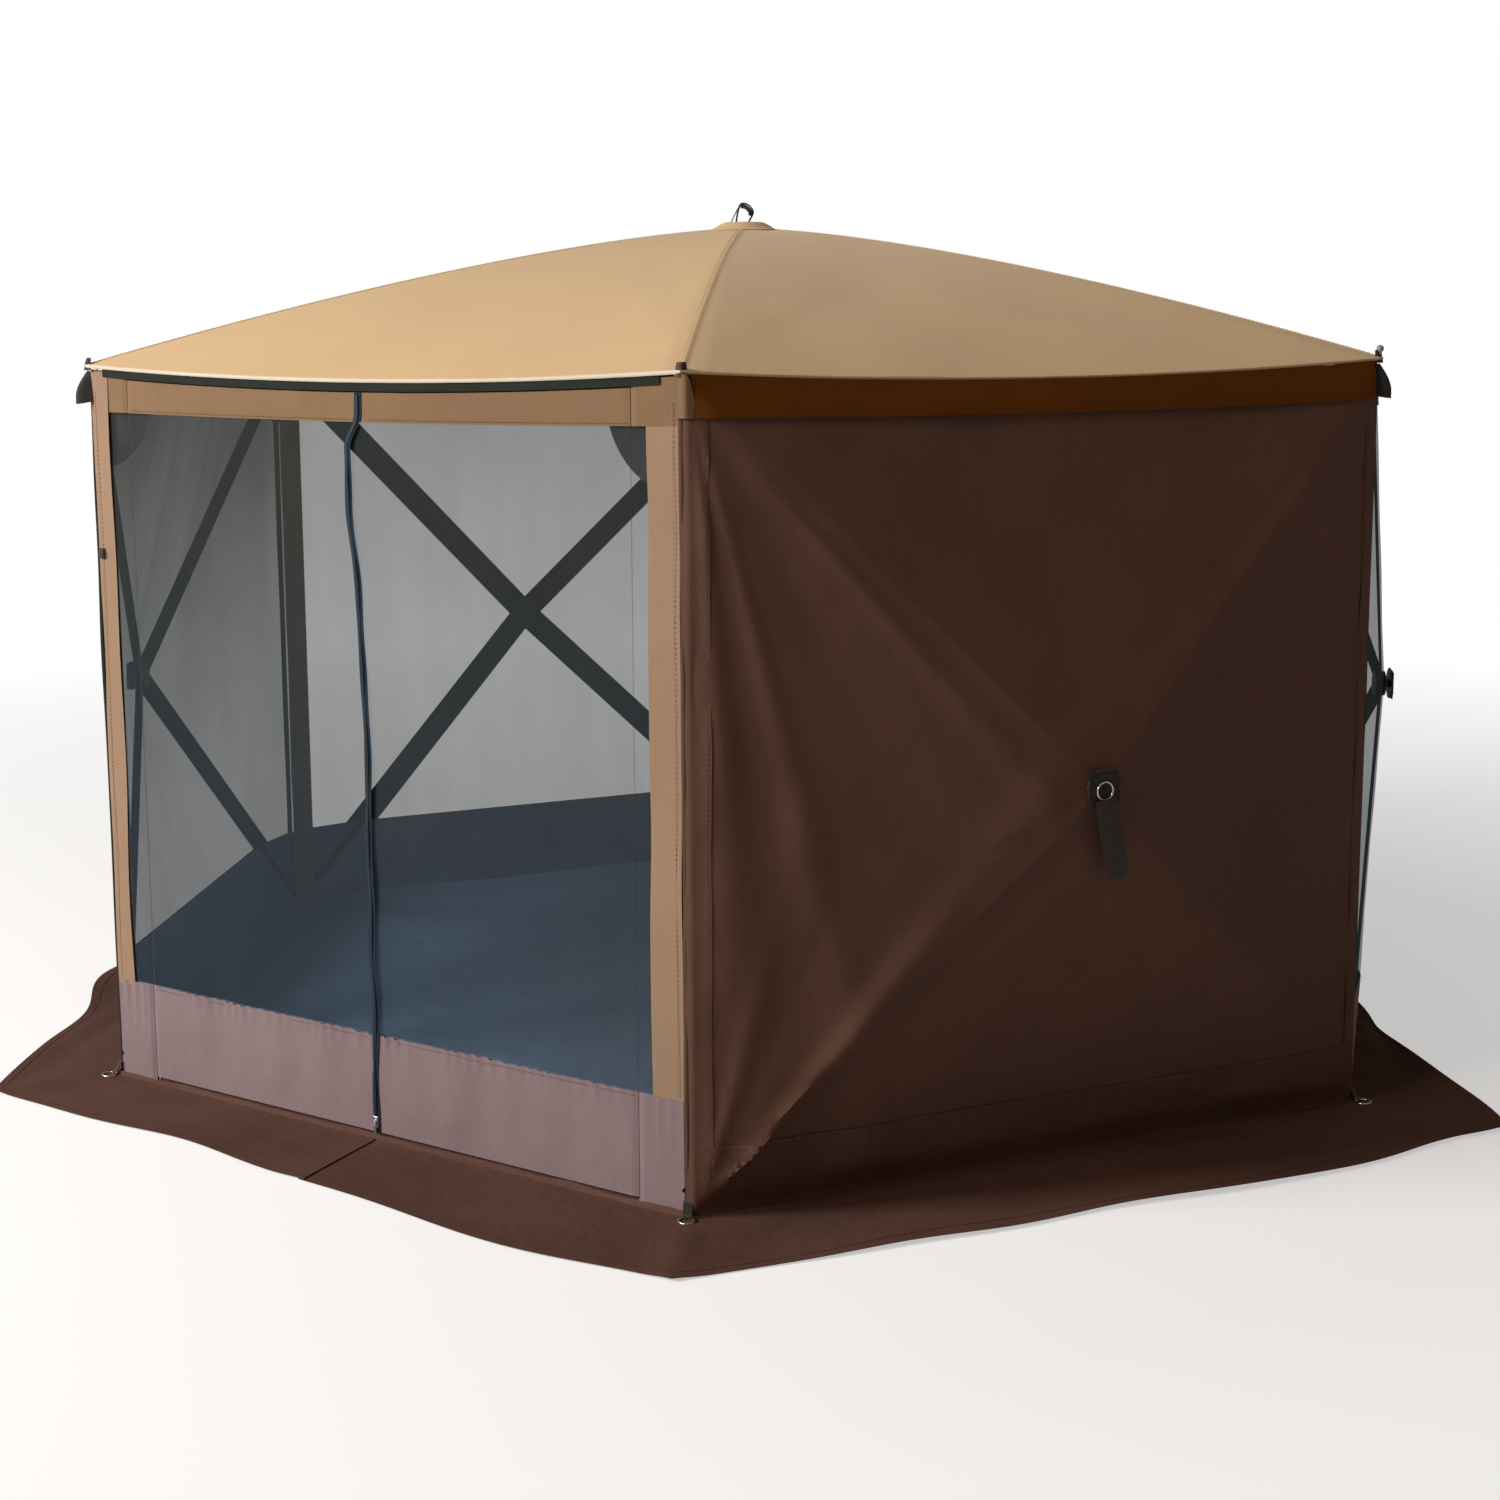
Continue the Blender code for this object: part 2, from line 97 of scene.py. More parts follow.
# ---- sewn details
CLOTH = 0.0012
HEADER_DROP = 0.112
BAND_HEIGHT = 0.260
SIDE_STRIP_WIDTH = 0.046
PANEL_OFFSET = 0.008
PANEL_SLACK = 0.009
PANEL_SEAM = 0.165
GUSSET_SIZE = 0.165
DOOR_GUSSET_SIZE = 0.190
JAMB_WIDTH = {-1: 0.064, 1: 0.088}
JAMB_WAVE = {-1: 0.0050, 1: 0.0016}
LINING_SETBACK = 0.006
SLEEVE_HALF = 0.040
SLEEVE_DEEP = 0.009
ROOF_SLEEVE_HALF = 0.034
ROOF_SLEEVE_DEEP = 0.012
SHARP_ANGLE = math.radians(50)
STITCH_PITCH = 0.011
STITCH = (0.007, 0.0014, 0.0007)
TRIM_LIFT = 0.0022
TRIM_THICKNESS = 0.001
ZIP_TAPE = 0.010
COIL_PITCH = 0.0060
STAKE_RING = 0.018
STAKE_WIRE = 0.0028
PULL_RING = 0.0200
PULL_WIRE = 0.0023
PATCH_SIZE = 0.078


# ---- Places
def corner_angle(corner):
    return math.radians(-90 + 60 * corner)


def corner_direction(corner):
    return np.array((math.cos(corner_angle(corner)), math.sin(corner_angle(corner))))


def between_corners(corner, t):
    """Plan directions on the straight line from one corner, where t is 0, to the next, where it is 1."""
    start, end = corner_direction(corner), corner_direction(corner + 1)
    return start[0] * (1 - t) + end[0] * t, start[1] * (1 - t) + end[1] * t


def corner_frame(corner):
    """A corner's own frame: origin on the ground under it, x outwards, z up."""
    return Matrix.Rotation(corner_angle(corner), 4, "Z") @ Matrix.Translation((CORNER_RADIUS, 0, 0))


def wall_frame(wall):
    turn = Matrix.Rotation(math.radians(-60 + 60 * wall), 4, "Z")
    upright = Matrix(((0, 0, 1, 0), (1, 0, 0, 0), (0, 1, 0, 0), (0, 0, 0, 1)))
    return turn @ Matrix.Translation((APOTHEM, 0, 0)) @ upright


def eave_drop(x):
    """How far the eave hangs below the corners, x along a wall from its middle."""
    return EAVE_SAG * (1 - (x / HALF_WALL) ** 2)


def wall_share(x, y):
    """How far out a place on a wall is, from 0 at its hub to 1 at its edge."""
    return np.clip(np.maximum(np.abs(x) / HALF_WALL, np.abs(y - HUB_HEIGHT) / HALF_RISE), 0, 1)


def wall_depth(x, y):
    """The wall's cloth is a shallow pyramid that its hub pushes out."""
    return HUB_BULGE * (1 - wall_share(x, y))


def ridge_height(radius):
    rise = APEX_HEIGHT - WALL_HEIGHT
    return APEX_HEIGHT - rise * (radius / ROOF_EDGE_RADIUS) ** ROOF_CURVE


def roof_height(share, u):
    """Height of the roof cloth, u from -1 to 1 between two ridges."""
    return ridge_height(ROOF_EDGE_RADIUS * share) - EAVE_SAG * share ** 2 * (1 - u * u)


def roof_at(x, y):
    """Height of the roof cloth over a place in plan."""
    angle = np.arctan2(y, x) - corner_angle(0)
    turn = corner_angle(0) + (np.floor(angle / SECTOR) + 0.5) * SECTOR
    out = x * np.cos(turn) + y * np.sin(turn)
    along = y * np.cos(turn) - x * np.sin(turn)
    share = out / (ROOF_EDGE_RADIUS * SIDE_RATIO)
    return roof_height(share, np.clip(2 * along / (ROOF_EDGE_RADIUS * share), -1, 1))


def smooth(value, start, end):
    t = np.clip((value - start) / (end - start), 0, 1)
    return t * t * (3 - 2 * t)


def stack(*columns):
    return np.stack(np.broadcast_arrays(*columns), axis=-1)


# ---- Uneven cloth
def ripples(u, v, seed, wavelength, count=7):
    """A smooth uneven field, mostly between -1 and 1, from waves of seeded direction."""
    draw = np.random.default_rng(seed)
    total = np.zeros(np.broadcast(u, v).shape)
    for _ in range(count):
        angle = draw.uniform(0, 2 * math.pi)
        length = wavelength * draw.uniform(0.6, 1.7)
        phase = draw.uniform(0, 2 * math.pi)
        total += np.sin(2 * math.pi / length * (u * math.cos(angle) + v * math.sin(angle)) + phase)
    return total / math.sqrt(count)


def fold(u, v, start, heading, width, reach):
    """One crease that runs from a point at a heading in degrees, widens, and fades with distance."""
    du, dv = u - start[0], v - start[1]
    distance = np.hypot(du, dv)
    angle = np.arctan2(dv, du) - math.radians(heading)
    angle = (angle + math.pi) % (2 * math.pi) - math.pi
    along = distance / reach
    return np.exp(-(angle / math.radians(width)) ** 2) * along * np.exp(1 - along)


def fan(u, v, start, heading, spread, seed, count=6):
    """Seeded creases that radiate from a point where the cloth is held."""
    draw = np.random.default_rng(seed)
    total = np.zeros(np.broadcast(u, v).shape)
    for _ in range(count):
        turn = heading + draw.uniform(-spread, spread)
        height = draw.uniform(-1, 1)
        total += height * fold(u, v, start, turn, draw.uniform(1.5, 4.5), draw.uniform(0.25, 0.7))
    return total


def puckers(along, seed, spacing=0.028):
    """Uneven little gathers where a stitched edge pulls the cloth in, from 0 to 1."""
    wobble = ripples(along, 0, seed, spacing * 6)
    beat = np.sin(2 * math.pi * along / spacing + 2.0 * wobble)
    return (0.5 + 0.5 * beat) ** 2 * (0.55 + 0.45 * ripples(along, 0, seed + 1, 0.22))


# ---- Meshes
def cloth_mesh(name, patches, thickness=CLOTH):
    """One welded sheet from grids of points. A patch is (points, flat): rows run inwards or up, and
    columns run to the right or anticlockwise, so that faces point outwards."""
    points, flats, faces, start = [], [], [], 0
    for grid, flat in patches:
        rows, columns = grid.shape[:2]
        index = start + np.arange(rows * columns).reshape(rows, columns)
        quads = np.stack((index[:-1, :-1], index[:-1, 1:], index[1:, 1:], index[1:, :-1]), axis=-1)
        points.append(grid.reshape(-1, 3))
        flats.append(np.broadcast_to(flat, (rows, columns, 2)).reshape(-1, 2))
        faces.append(quads.reshape(-1, 4))
        start += rows * columns
    points, flats, faces = (np.concatenate(part) for part in (points, flats, faces))
    mesh = bpy.data.meshes.new(name)
    mesh.from_pydata(points.tolist(), [], faces.tolist())
    flat_map = mesh.uv_layers.new(name="cloth")
    flat_map.data.foreach_set("uv", flats[faces.ravel()].astype(np.float32).ravel())
    weld(mesh)
    if thickness:
        mesh = thickened(mesh, thickness)
    return smoothed(mesh)


def smoothed(mesh):
    """The mesh, shaded smoothly apart from its sharp edges."""
    mesh.shade_smooth()
    mesh.set_sharp_from_angle(angle=SHARP_ANGLE)
    return mesh


def weld(mesh):
    cage = bmesh.new()
    cage.from_mesh(mesh)
    bmesh.ops.remove_doubles(cage, verts=cage.verts, dist=0.0001)
    cage.to_mesh(mesh)
    cage.free()


def evaluated_mesh(piece):
    """The piece's mesh with its modifiers applied. The piece itself is removed."""
    shape = piece.evaluated_get(bpy.context.evaluated_depsgraph_get())
    mesh = bpy.data.meshes.new_from_object(shape)
    bpy.data.objects.remove(piece, do_unlink=True)
    return mesh


def linked(name, data):
    """A new object in the scene."""
    made = bpy.data.objects.new(name, data)
    bpy.context.scene.collection.objects.link(made)
    return made


def thickened(mesh, thickness):
    piece = linked("scratch", mesh)
    layer = piece.modifiers.new("thickness", "SOLIDIFY")
    layer.thickness = thickness
    layer.offset = 1.0
    return evaluated_mesh(piece)


def measured(path):
    """Distance along a line of points, at each of them."""
    steps = np.linalg.norm(np.diff(path, axis=0), axis=1)
    return np.concatenate([[0], np.cumsum(steps)])


def place_on(path, distance):
    along = measured(path)
    return np.stack([np.interp(distance, along, path[:, axis]) for axis in range(3)], axis=-1)


def add_stitches(mesh, paths, outward=(0, 0, 1), pitch=STITCH_PITCH):
    """Rows of thread bars along lines of points, in the mesh's second material."""
    long, wide, high = STITCH
    cage = bmesh.new()
    cage.from_mesh(mesh)
    up = np.array(outward, float)
    for path in paths:
        starts = np.arange(pitch, measured(path)[-1] - pitch, pitch)
        tails, heads = place_on(path, starts), place_on(path, starts + long)
        run = heads - tails
        side = np.cross(up, run)
        side *= wide / 2 / np.maximum(np.linalg.norm(side, axis=1, keepdims=True), 1e-9)
        for tail, head, across in zip(tails, heads, side):
            add_bar(cage, tail, head, across, up * high)
    cage.to_mesh(mesh)
    cage.free()
    return mesh


def add_bar(cage, tail, head, across, rise):
    """A closed little bar of thread from tail to head."""
    low = [cage.verts.new(p) for p in (tail - across, head - across, head + across, tail + across)]
    top = [cage.verts.new(Vector(v.co) + Vector(rise)) for v in low]
    faces = [low[::-1], top]
    faces += [[low[i], low[(i + 1) % 4], top[(i + 1) % 4], top[i]] for i in range(4)]
    for corners in faces:
        cage.faces.new(corners).material_index = 1


def add_piece(name, mesh, finish, thread=None):
    """An object in the named finish, with the thread's finish for its stitches."""
    mesh.materials.clear()
    mesh.materials.append(FINISH[finish])
    if thread is not None:
        mesh.materials.append(FINISH[thread])
    piece = linked(name, mesh)
    return piece


def dress_node(name, finish):
    """A carried-over part of the frame in the named finish."""
    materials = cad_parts[name].data.materials
    materials.clear()
    materials.append(FINISH[finish])


def placed(mesh, matrix):
    mesh.transform(matrix)
    return mesh


def ordered(side, outer, inner):
    """The two edges of a strip at one end of a wall, from left to right."""
    return (outer, inner) if side < 0 else (inner, outer)


def bellied(sewn, belly, share):
    """Depth of a sleeve: sewn down at its edges, and pushed in to its belly where the share is 1."""
    return sewn + (np.minimum(belly, sewn) - sewn) * share


def line_grid(sections, flat_across):
    """A grid through cross-sections of points; flat_across is the place across, in metres."""
    sections = np.array(sections, float)
    middle = sections[:, sections.shape[1] // 2]
    along = measured(middle)
    flat = stack(np.array(flat_across)[None, :], along[:, None])
    return sections, flat


def add_lofted(name, place, sections, across, finish, thickness=TRIM_THICKNESS):
    """A thin sheet through cross-sections of points, in the frame place."""
    mesh = cloth_mesh(name, [line_grid(sections, across)], thickness)
    return add_piece(name, placed(mesh, place), finish)


def tube_mesh(name, path, radius, sides=10, closed=False):
    """A round bar or wire along a line of points, with its ends capped, or a closed ring."""
    curve = bpy.data.curves.new(name, "CURVE")
    curve.dimensions = "3D"
    curve.bevel_depth = radius
    curve.bevel_resolution = max(1, sides // 4 - 1)
    curve.use_fill_caps = True
    spline = curve.splines.new("POLY")
    spline.points.add(len(path) - 1)
    for target, point in zip(spline.points, path):
        target.co = (*point, 1)
    spline.use_cyclic_u = closed
    guide = linked(name, curve)
    bpy.context.view_layer.update()
    mesh = evaluated_mesh(guide)
    weld(mesh)
    return smoothed(mesh)


def ring_mesh(middle, radius, wire, count):
    """A round wire ring that lies level about its middle."""
    turn = np.linspace(0, 2 * math.pi, count, endpoint=False)
    path = stack(middle[0] + radius * np.cos(turn), middle[1] + radius * np.sin(turn), middle[2])
    return tube_mesh("ring", path, wire, 12, closed=True)


def strap_mesh(name, path, across, width, thickness, slices=5, crown=0.0):
    """Flat webbing along a line of points; across is the way its width runs."""
    path = np.array(path, float)
    side = np.array(across, float)
    tangent = np.gradient(path, axis=0)
    normal = np.cross(side, tangent)
    normal /= np.maximum(np.linalg.norm(normal, axis=1, keepdims=True), 1e-9)
    places = np.linspace(-width / 2, width / 2, slices)
    bow = crown * (1 - (2 * places / width) ** 2)
    sections = path[:, None] + places[None, :, None] * side + bow[None, :, None] * normal[:, None]
    return cloth_mesh(name, [line_grid(sections, places)], thickness)


# ---- Finishes
def fill(tree, made, values=None, links=None):
    """Socket values and incoming links for a shader node."""
    for socket, value in (values or {}).items():
        made.inputs[socket].default_value = value
    for socket, source in (links or {}).items():
        tree.links.new(source, made.inputs[socket])
    return made


def node(tree, kind, values=None, links=None, **settings):
    """One shader node, with its settings, socket values and incoming links."""
    made = tree.nodes.new("ShaderNode" + kind)
    for key, value in settings.items():
        setattr(made, key, value)
    return fill(tree, made, values, links)


def new_finish(name):
    finish = bpy.data.materials.new(name)
    finish.use_nodes = True
    return finish, finish.node_tree, finish.node_tree.nodes["Principled BSDF"]


def noise(tree, place, scale, detail=3.0, stretch=None):
    if stretch:
        place = node(tree, "Mapping", {"Scale": stretch}, {"Vector": place}).outputs["Vector"]
    values = {"Scale": scale, "Detail": detail, "Roughness": 0.55}
    return node(tree, "TexNoise", values, {"Vector": place}).outputs["Fac"]


def math_node(tree, operation, first, second):
    """Arithmetic on two values, each a number or a socket."""
    made = node(tree, "Math", operation=operation)
    for socket, value in zip(made.inputs, (first, second)):
        if isinstance(value, (int, float)):
            socket.default_value = value
        else:
            tree.links.new(value, socket)
    return made.outputs["Value"]


def threads(tree, place, axis, pitch):
    """Even ridges across one axis, a pitch apart."""
    waves_per_metre = 2 * math.pi / 20 / pitch
    values = {"Scale": waves_per_metre, "Distortion": 0.0}
    links = {"Vector": place}
    made = node(tree, "TexWave", values, links, bands_direction=axis, wave_profile="SIN")
    return made.outputs["Fac"]


def remapped(tree, value, low, high, start=0.3, end=0.7):
    values = {"From Min": start, "From Max": end, "To Min": low, "To Max": high}
    return node(tree, "MapRange", values, {"Value": value}).outputs["Result"]


def shaded(colour, factor):
    return (*(min(1.0, channel * factor) for channel in colour), 1.0)


def two_tone(tree, mask, dark, light):
    """A mix of two colours; a mask of 0 gives the first."""
    return node(tree, "Mix", {6: dark, 7: light}, {0: mask}, data_type="RGBA").outputs[2]


def mixed_tone(tree, first, share, second):
    """A weighted mean of two values."""
    parts = (math_node(tree, "MULTIPLY", first, share), math_node(tree, "MULTIPLY", second, 1 - share))
    return math_node(tree, "ADD", *parts)


def mottled(tree, tone, colour, dark, light):
    """The colour, darker and lighter by these factors as the tone runs."""
    return two_tone(tree, remapped(tree, tone, 0.0, 1.0), shaded(colour, dark), shaded(colour, light))


def relief(tree, shader, height, depth, under=None):
    links = {"Height": height}
    if under is not None:
        links["Normal"] = under
    made = node(tree, "Bump", {"Strength": 1.0, "Distance": depth}, links)
    tree.links.new(made.outputs["Normal"], shader.inputs["Normal"])
    return made.outputs["Normal"]


def cloth_finish(name, colour, roughness=0.82, pitch=0.0014, blotch=0.10, crinkle=0.0016, sheen=0.15,
                 lit_colour=None):
    """Plain-woven cloth: threads, slow changes of tone, faint slubs and a crinkled surface.

    With a second colour the cloth turns to it across its width, from right to left: painted light, lighter
    where the shelter shades its left side.
    """
    finish, tree, shader = new_finish(name)
    place = node(tree, "UVMap", uv_map="cloth").outputs["UV"]
    slow = noise(tree, place, 2.2, 4.0)
    slubs = noise(tree, place, 90.0, 2.0, (1.0, 0.12, 1.0))
    tone = mixed_tone(tree, slow, 0.75, slubs)
    tint = mottled(tree, tone, colour, 1 - blotch, 1 + blotch)
    # Painted light: the second colour lightens the cloth towards its left.
    if lit_colour:
        across = node(tree, "SeparateXYZ", links={"Vector": place}).outputs["X"]
        painted_light_mask = remapped(tree, math_node(tree, "ADD", across, slow), 1.0, 0.0, -0.6, 0.5)
        links = {0: painted_light_mask, 6: tint}
        tint = node(tree, "Mix", {7: shaded(lit_colour, 1.0)}, links, data_type="RGBA").outputs[2]
    rough = remapped(tree, noise(tree, place, 14.0), roughness - 0.06, roughness + 0.06)
    values = {"Sheen Weight": sheen, "Sheen Roughness": 0.5, "Specular IOR Level": 0.12}
    fill(tree, shader, values, {"Base Color": tint, "Roughness": rough})
    warp, weft = threads(tree, place, "X", pitch), threads(tree, place, "Y", pitch)
    under = relief(tree, shader, math_node(tree, "MAXIMUM", warp, weft), 0.00005)
    relief(tree, shader, noise(tree, place, 9.0, 5.0), crinkle, under)
    return finish


def mesh_finish(name, colour, cover, seed_shift=0.0, shade_climb=0.0):
    """Fine insect mesh: an even veil, a little denser in streaks and patches, and denser towards its top in
    painted shade.

    Towards its top its colour is greyer and less blue: painted shade.
    """
    finish, tree, shader = new_finish(name)
    place = node(tree, "UVMap", uv_map="cloth").outputs["UV"]
    shift = {"Location": (seed_shift, seed_shift, 0)}
    moved = node(tree, "Mapping", shift, {"Vector": place}).outputs["Vector"]
    patches = noise(tree, moved, 1.6, 3.0)
    streaks = noise(tree, moved, 9.0, 2.0, (1.0, 0.10, 1.0))
    alpha = remapped(tree, mixed_tone(tree, patches, 0.6, streaks), cover - 0.045, cover + 0.045)
    height = node(tree, "SeparateXYZ", links={"Vector": place}).outputs["Y"]
    # Painted shade: the veil grows denser towards its top.
    alpha = math_node(tree, "ADD", alpha, remapped(tree, height, -shade_climb / 2, shade_climb / 2, 0.5, 1.7))
    uneven_height = math_node(tree, "ADD", height, math_node(tree, "MULTIPLY", patches, 0.5))
    # Painted shade: a greyer, less blue colour towards its top.
    shaded_top_colour = (colour[0] * 1.12, (colour[0] + colour[1]) / 2 * 1.08, (colour[0] + colour[1]) / 2)
    top_shade_mask = remapped(tree, uneven_height, 0.0, 1.0, 0.6, 1.8)
    tint = two_tone(tree, top_shade_mask, shaded(colour, 1.0), shaded(shaded_top_colour, 1.0))
    values = {"Roughness": 0.85, "Specular IOR Level": 0.15}
    fill(tree, shader, values, {"Base Color": tint, "Alpha": alpha})
    net = math_node(tree, "MULTIPLY", threads(tree, place, "X", 0.0018), threads(tree, place, "Y", 0.0018))
    relief(tree, shader, net, 0.00006)
    return finish


def webbing_finish(name, colour):
    """Narrow woven strap with ribs across it."""
    finish, tree, shader = new_finish(name)
    place = node(tree, "UVMap", uv_map="cloth").outputs["UV"]
    ribs = math_node(tree, "MAXIMUM", threads(tree, place, "Y", 0.0022), threads(tree, place, "X", 0.0035))
    tint = mottled(tree, noise(tree, place, 30.0), colour, 0.8, 1.25)
    fill(tree, shader, {"Roughness": 0.78, "Sheen Weight": 0.2}, {"Base Color": tint})
    relief(tree, shader, ribs, 0.00025)
    return finish


def moulded_finish(name, colour, roughness):
    """Moulded plastic with a fine pebbled grain and scuffs that change its gloss."""
    finish, tree, shader = new_finish(name)
    place = node(tree, "TexCoord").outputs["Object"]
    grain = noise(tree, place, 900.0, 2.0)
    scuffs = noise(tree, place, 45.0, 4.0)
    tint = mottled(tree, scuffs, colour, 0.85, 1.2)
    rough = remapped(tree, scuffs, roughness - 0.1, roughness + 0.1)
    fill(tree, shader, links={"Base Color": tint, "Roughness": rough})
    relief(tree, shader, grain, 0.00008)
    return finish


def metal_finish(name, colour, roughness):
    """Plated steel with fine rubbed marks."""
    finish, tree, shader = new_finish(name)
    place = node(tree, "TexCoord").outputs["Object"]
    rubbed = noise(tree, place, 220.0, 3.0, (1.0, 1.0, 0.15))
    tint = mottled(tree, rubbed, colour, 0.8, 1.1)
    rough = remapped(tree, rubbed, roughness - 0.08, roughness + 0.1)
    fill(tree, shader, {"Metallic": 1.0}, {"Base Color": tint, "Roughness": rough})
    relief(tree, shader, rubbed, 0.00003)
    return finish


def stage_finish():
    """A pale matt floor that glows like the surround, more so further out, so that no horizon shows."""
    finish, tree, shader = new_finish("studio_floor")
    place = node(tree, "TexCoord").outputs["Object"]
    away = node(tree, "VectorMath", links={0: place}, operation="LENGTH").outputs["Value"]
    glow = remapped(tree, away, 0.50, 1.0, 2.5, 7.5)
    seen = node(tree, "LightPath").outputs["Is Camera Ray"]
    strength = {"Strength": remapped(tree, seen, 0.3, 1.0, 0, 1)}
    bright = node(tree, "Emission", {"Color": (1, 1, 1, 1)}, strength)
    tint = two_tone(tree, noise(tree, place, 0.4), (0.84, 0.84, 0.84, 1), (0.88, 0.88, 0.88, 1))
    fill(tree, shader, {"Roughness": 0.9, "Specular IOR Level": 0.0}, {"Base Color": tint})
    links = {0: glow, 1: shader.outputs["BSDF"], 2: bright.outputs["Emission"]}
    mixed = node(tree, "MixShader", links=links).outputs["Shader"]
    tree.links.new(mixed, tree.nodes["Material Output"].inputs["Surface"])
    return finish


FINISH = {
    "roof": cloth_finish("roof_canvas", (0.545, 0.372, 0.192), blotch=0.04),
    # Painted highlight: a paler copy of the roof cloth for the lit door wall's hem.
    "hem": cloth_finish("hem_painted_highlight", (0.62, 0.55, 0.44)),
    "tan": cloth_finish("tan_trim", (0.168, 0.099, 0.052)),
    "jamb": cloth_finish("pale_jamb", (0.235, 0.150, 0.098)),
    "band": cloth_finish("mauve_band", (0.178, 0.128, 0.138), crinkle=0.003, sheen=0.05),
    "slate": cloth_finish("slate_lining", (0.155, 0.205, 0.300), blotch=0.25, crinkle=0.005, sheen=0.0),
    # Painted light: the ground cloth turns lighter and bluer on its left, where the left wall's netting
    # shades it.
    "floor": cloth_finish("slate_ground_cloth", (0.145, 0.172, 0.225), blotch=0.25, crinkle=0.005,
                          sheen=0.0, lit_colour=(0.175, 0.300, 0.530)),
    # Painted light: a lighter, bluer copy of the slate lining for the left wall, where its netting shades
    # it.
    "lit_slate": cloth_finish("slate_lining_painted_light", (0.200, 0.310, 0.540), blotch=0.2, crinkle=0.005,
                               sheen=0.0),
    "panel": cloth_finish("brown_panel", (0.105, 0.052, 0.038), blotch=0.12, crinkle=0.003, sheen=0.03),
    # Partly painted shade: the valance is far darker than the tan header, standing in for that wall's
    # shade.
    "valance": cloth_finish("valance_painted_shade", (0.120, 0.034, 0.002), blotch=0.12, crinkle=0.003, sheen=0.0),
    "skirt": cloth_finish("brown_skirt", (0.078, 0.038, 0.029), blotch=0.25, crinkle=0.005, sheen=0.0),
    "tape": cloth_finish("green_black_tape", (0.011, 0.014, 0.010), sheen=0.05),
    "binding": cloth_finish("brown_binding", (0.075, 0.045, 0.032), sheen=0.0),
    "sleeve": cloth_finish("charcoal_sleeve", (0.014, 0.014, 0.015), sheen=0.02),
    "gusset": cloth_finish("grey_gusset", (0.060, 0.066, 0.072), sheen=0.02),
    "inner_strip": cloth_finish("umber_strip", (0.34, 0.235, 0.175), sheen=0.0),
    "zip": cloth_finish("navy_zip_tape", (0.006, 0.022, 0.042), pitch=0.003, sheen=0.05),
    "door_mesh": mesh_finish("door_netting", (0.032, 0.048, 0.068), 0.42),
    "screen_mesh": mesh_finish("wall_netting", (0.038, 0.096, 0.180), 0.53, 3.7, 0.16),
    # Painted shade: a denser, darker copy of the wall netting for the left wall.
    "shaded_left_mesh": mesh_finish("left_netting_painted_shade", (0.040, 0.060, 0.080), 0.83, 1.9, 0.22),
    "webbing": webbing_finish("dark_webbing", (0.0055, 0.005, 0.005)),
    "strap": webbing_finish("brown_webbing", (0.019, 0.0115, 0.0095)),
    "hub": moulded_finish("black_nylon", (0.022, 0.022, 0.024), 0.42),
    "panel_plate": moulded_finish("brown_nylon", (0.052, 0.030, 0.023), 0.62),
    "ball": moulded_finish("grey_nylon", (0.20, 0.19, 0.19), 0.45),
    "steel": metal_finish("plated_ring", (0.72, 0.72, 0.74), 0.22),
    "slider": metal_finish("zip_metal", (0.66, 0.66, 0.68), 0.30),
    "thread_tan": cloth_finish("tan_thread", (0.40, 0.27, 0.17)),
    "thread_brown": cloth_finish("brown_thread", (0.16, 0.095, 0.075)),
    "thread_dark": cloth_finish("dark_thread", (0.05, 0.05, 0.055)),
}


# ---- Roof
def roof_folds(x, y):
    """Soft tension lines from each corner, and an uneven eave."""
    total = 0.0012 * ripples(x, y, 3, 0.55)
    for corner in range(SIDES):
        start = corner_direction(corner) * ROOF_EDGE_RADIUS
        heading = math.degrees(corner_angle(corner)) + 180
        total = total + 0.0035 * fan(x, y, start, heading, 28, 40 + corner)
    return total


def roof_gore(corner, shares, steps, lift=0.0):
    """One sixth of the roof, between two ridges."""
    share = np.array(shares)[::-1, None]
    u = np.linspace(-1, 1, steps + 1)[None, :]
    radius = ROOF_EDGE_RADIUS * share
    x, y = (radius * part for part in between_corners(corner, (u + 1) / 2))
    z = roof_height(share, u) + lift + roof_folds(x, y) * (1 - u ** 6)
    flat = stack(radius * u / 2, radius * SIDE_RATIO + 0 * u)
    return stack(x, y, z), flat


def ridge_path(corner, first, last, lift, count=40):
    radius = np.linspace(first, last, count)
    direction = corner_direction(corner)
    return stack(radius * direction[0], radius * direction[1], ridge_height(radius) + lift)


def eave_path(corner, lift, out=0.0, count=48):
    """The roof's edge between two corners."""
    u = np.linspace(-1, 1, count)
    x, y = ((ROOF_EDGE_RADIUS + out) * part for part in between_corners(corner, (u + 1) / 2))
    return stack(x, y, roof_height(1.0, u) + lift)


def roof_blend(piece):
    """The piece, lifted above the cloth or below it, with its placement baked into its mesh."""
    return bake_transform(piece)


def add_roof():
    """The tan canopy with its flat-felled ridge seams and turned hem."""
    neck = 0.016 / ROOF_EDGE_RADIUS
    shares = np.concatenate([[neck, 0.03], np.linspace(0.06, 0.96, 31), [0.985, 1.0]])
    mesh = cloth_mesh("roof_sheet", [roof_gore(corner, shares, 28) for corner in range(SIDES)])
    add_stitches(mesh, [eave_path(corner, 0.0015, -0.016) for corner in range(SIDES)])
    canopy = add_piece("roof_sheet", mesh, "roof", "thread_tan")
    roof_blend(canopy)
    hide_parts("roof_canopy")
    trim = [add_ridge_seam(corner) for corner in range(SIDES)]
    trim += [add_hem(corner) for corner in range(SIDES)]
    trim += [add_roof_sleeve(corner, label) for corner, label in enumerate(CORNERS)]
    trim.append(add_roof_cap())


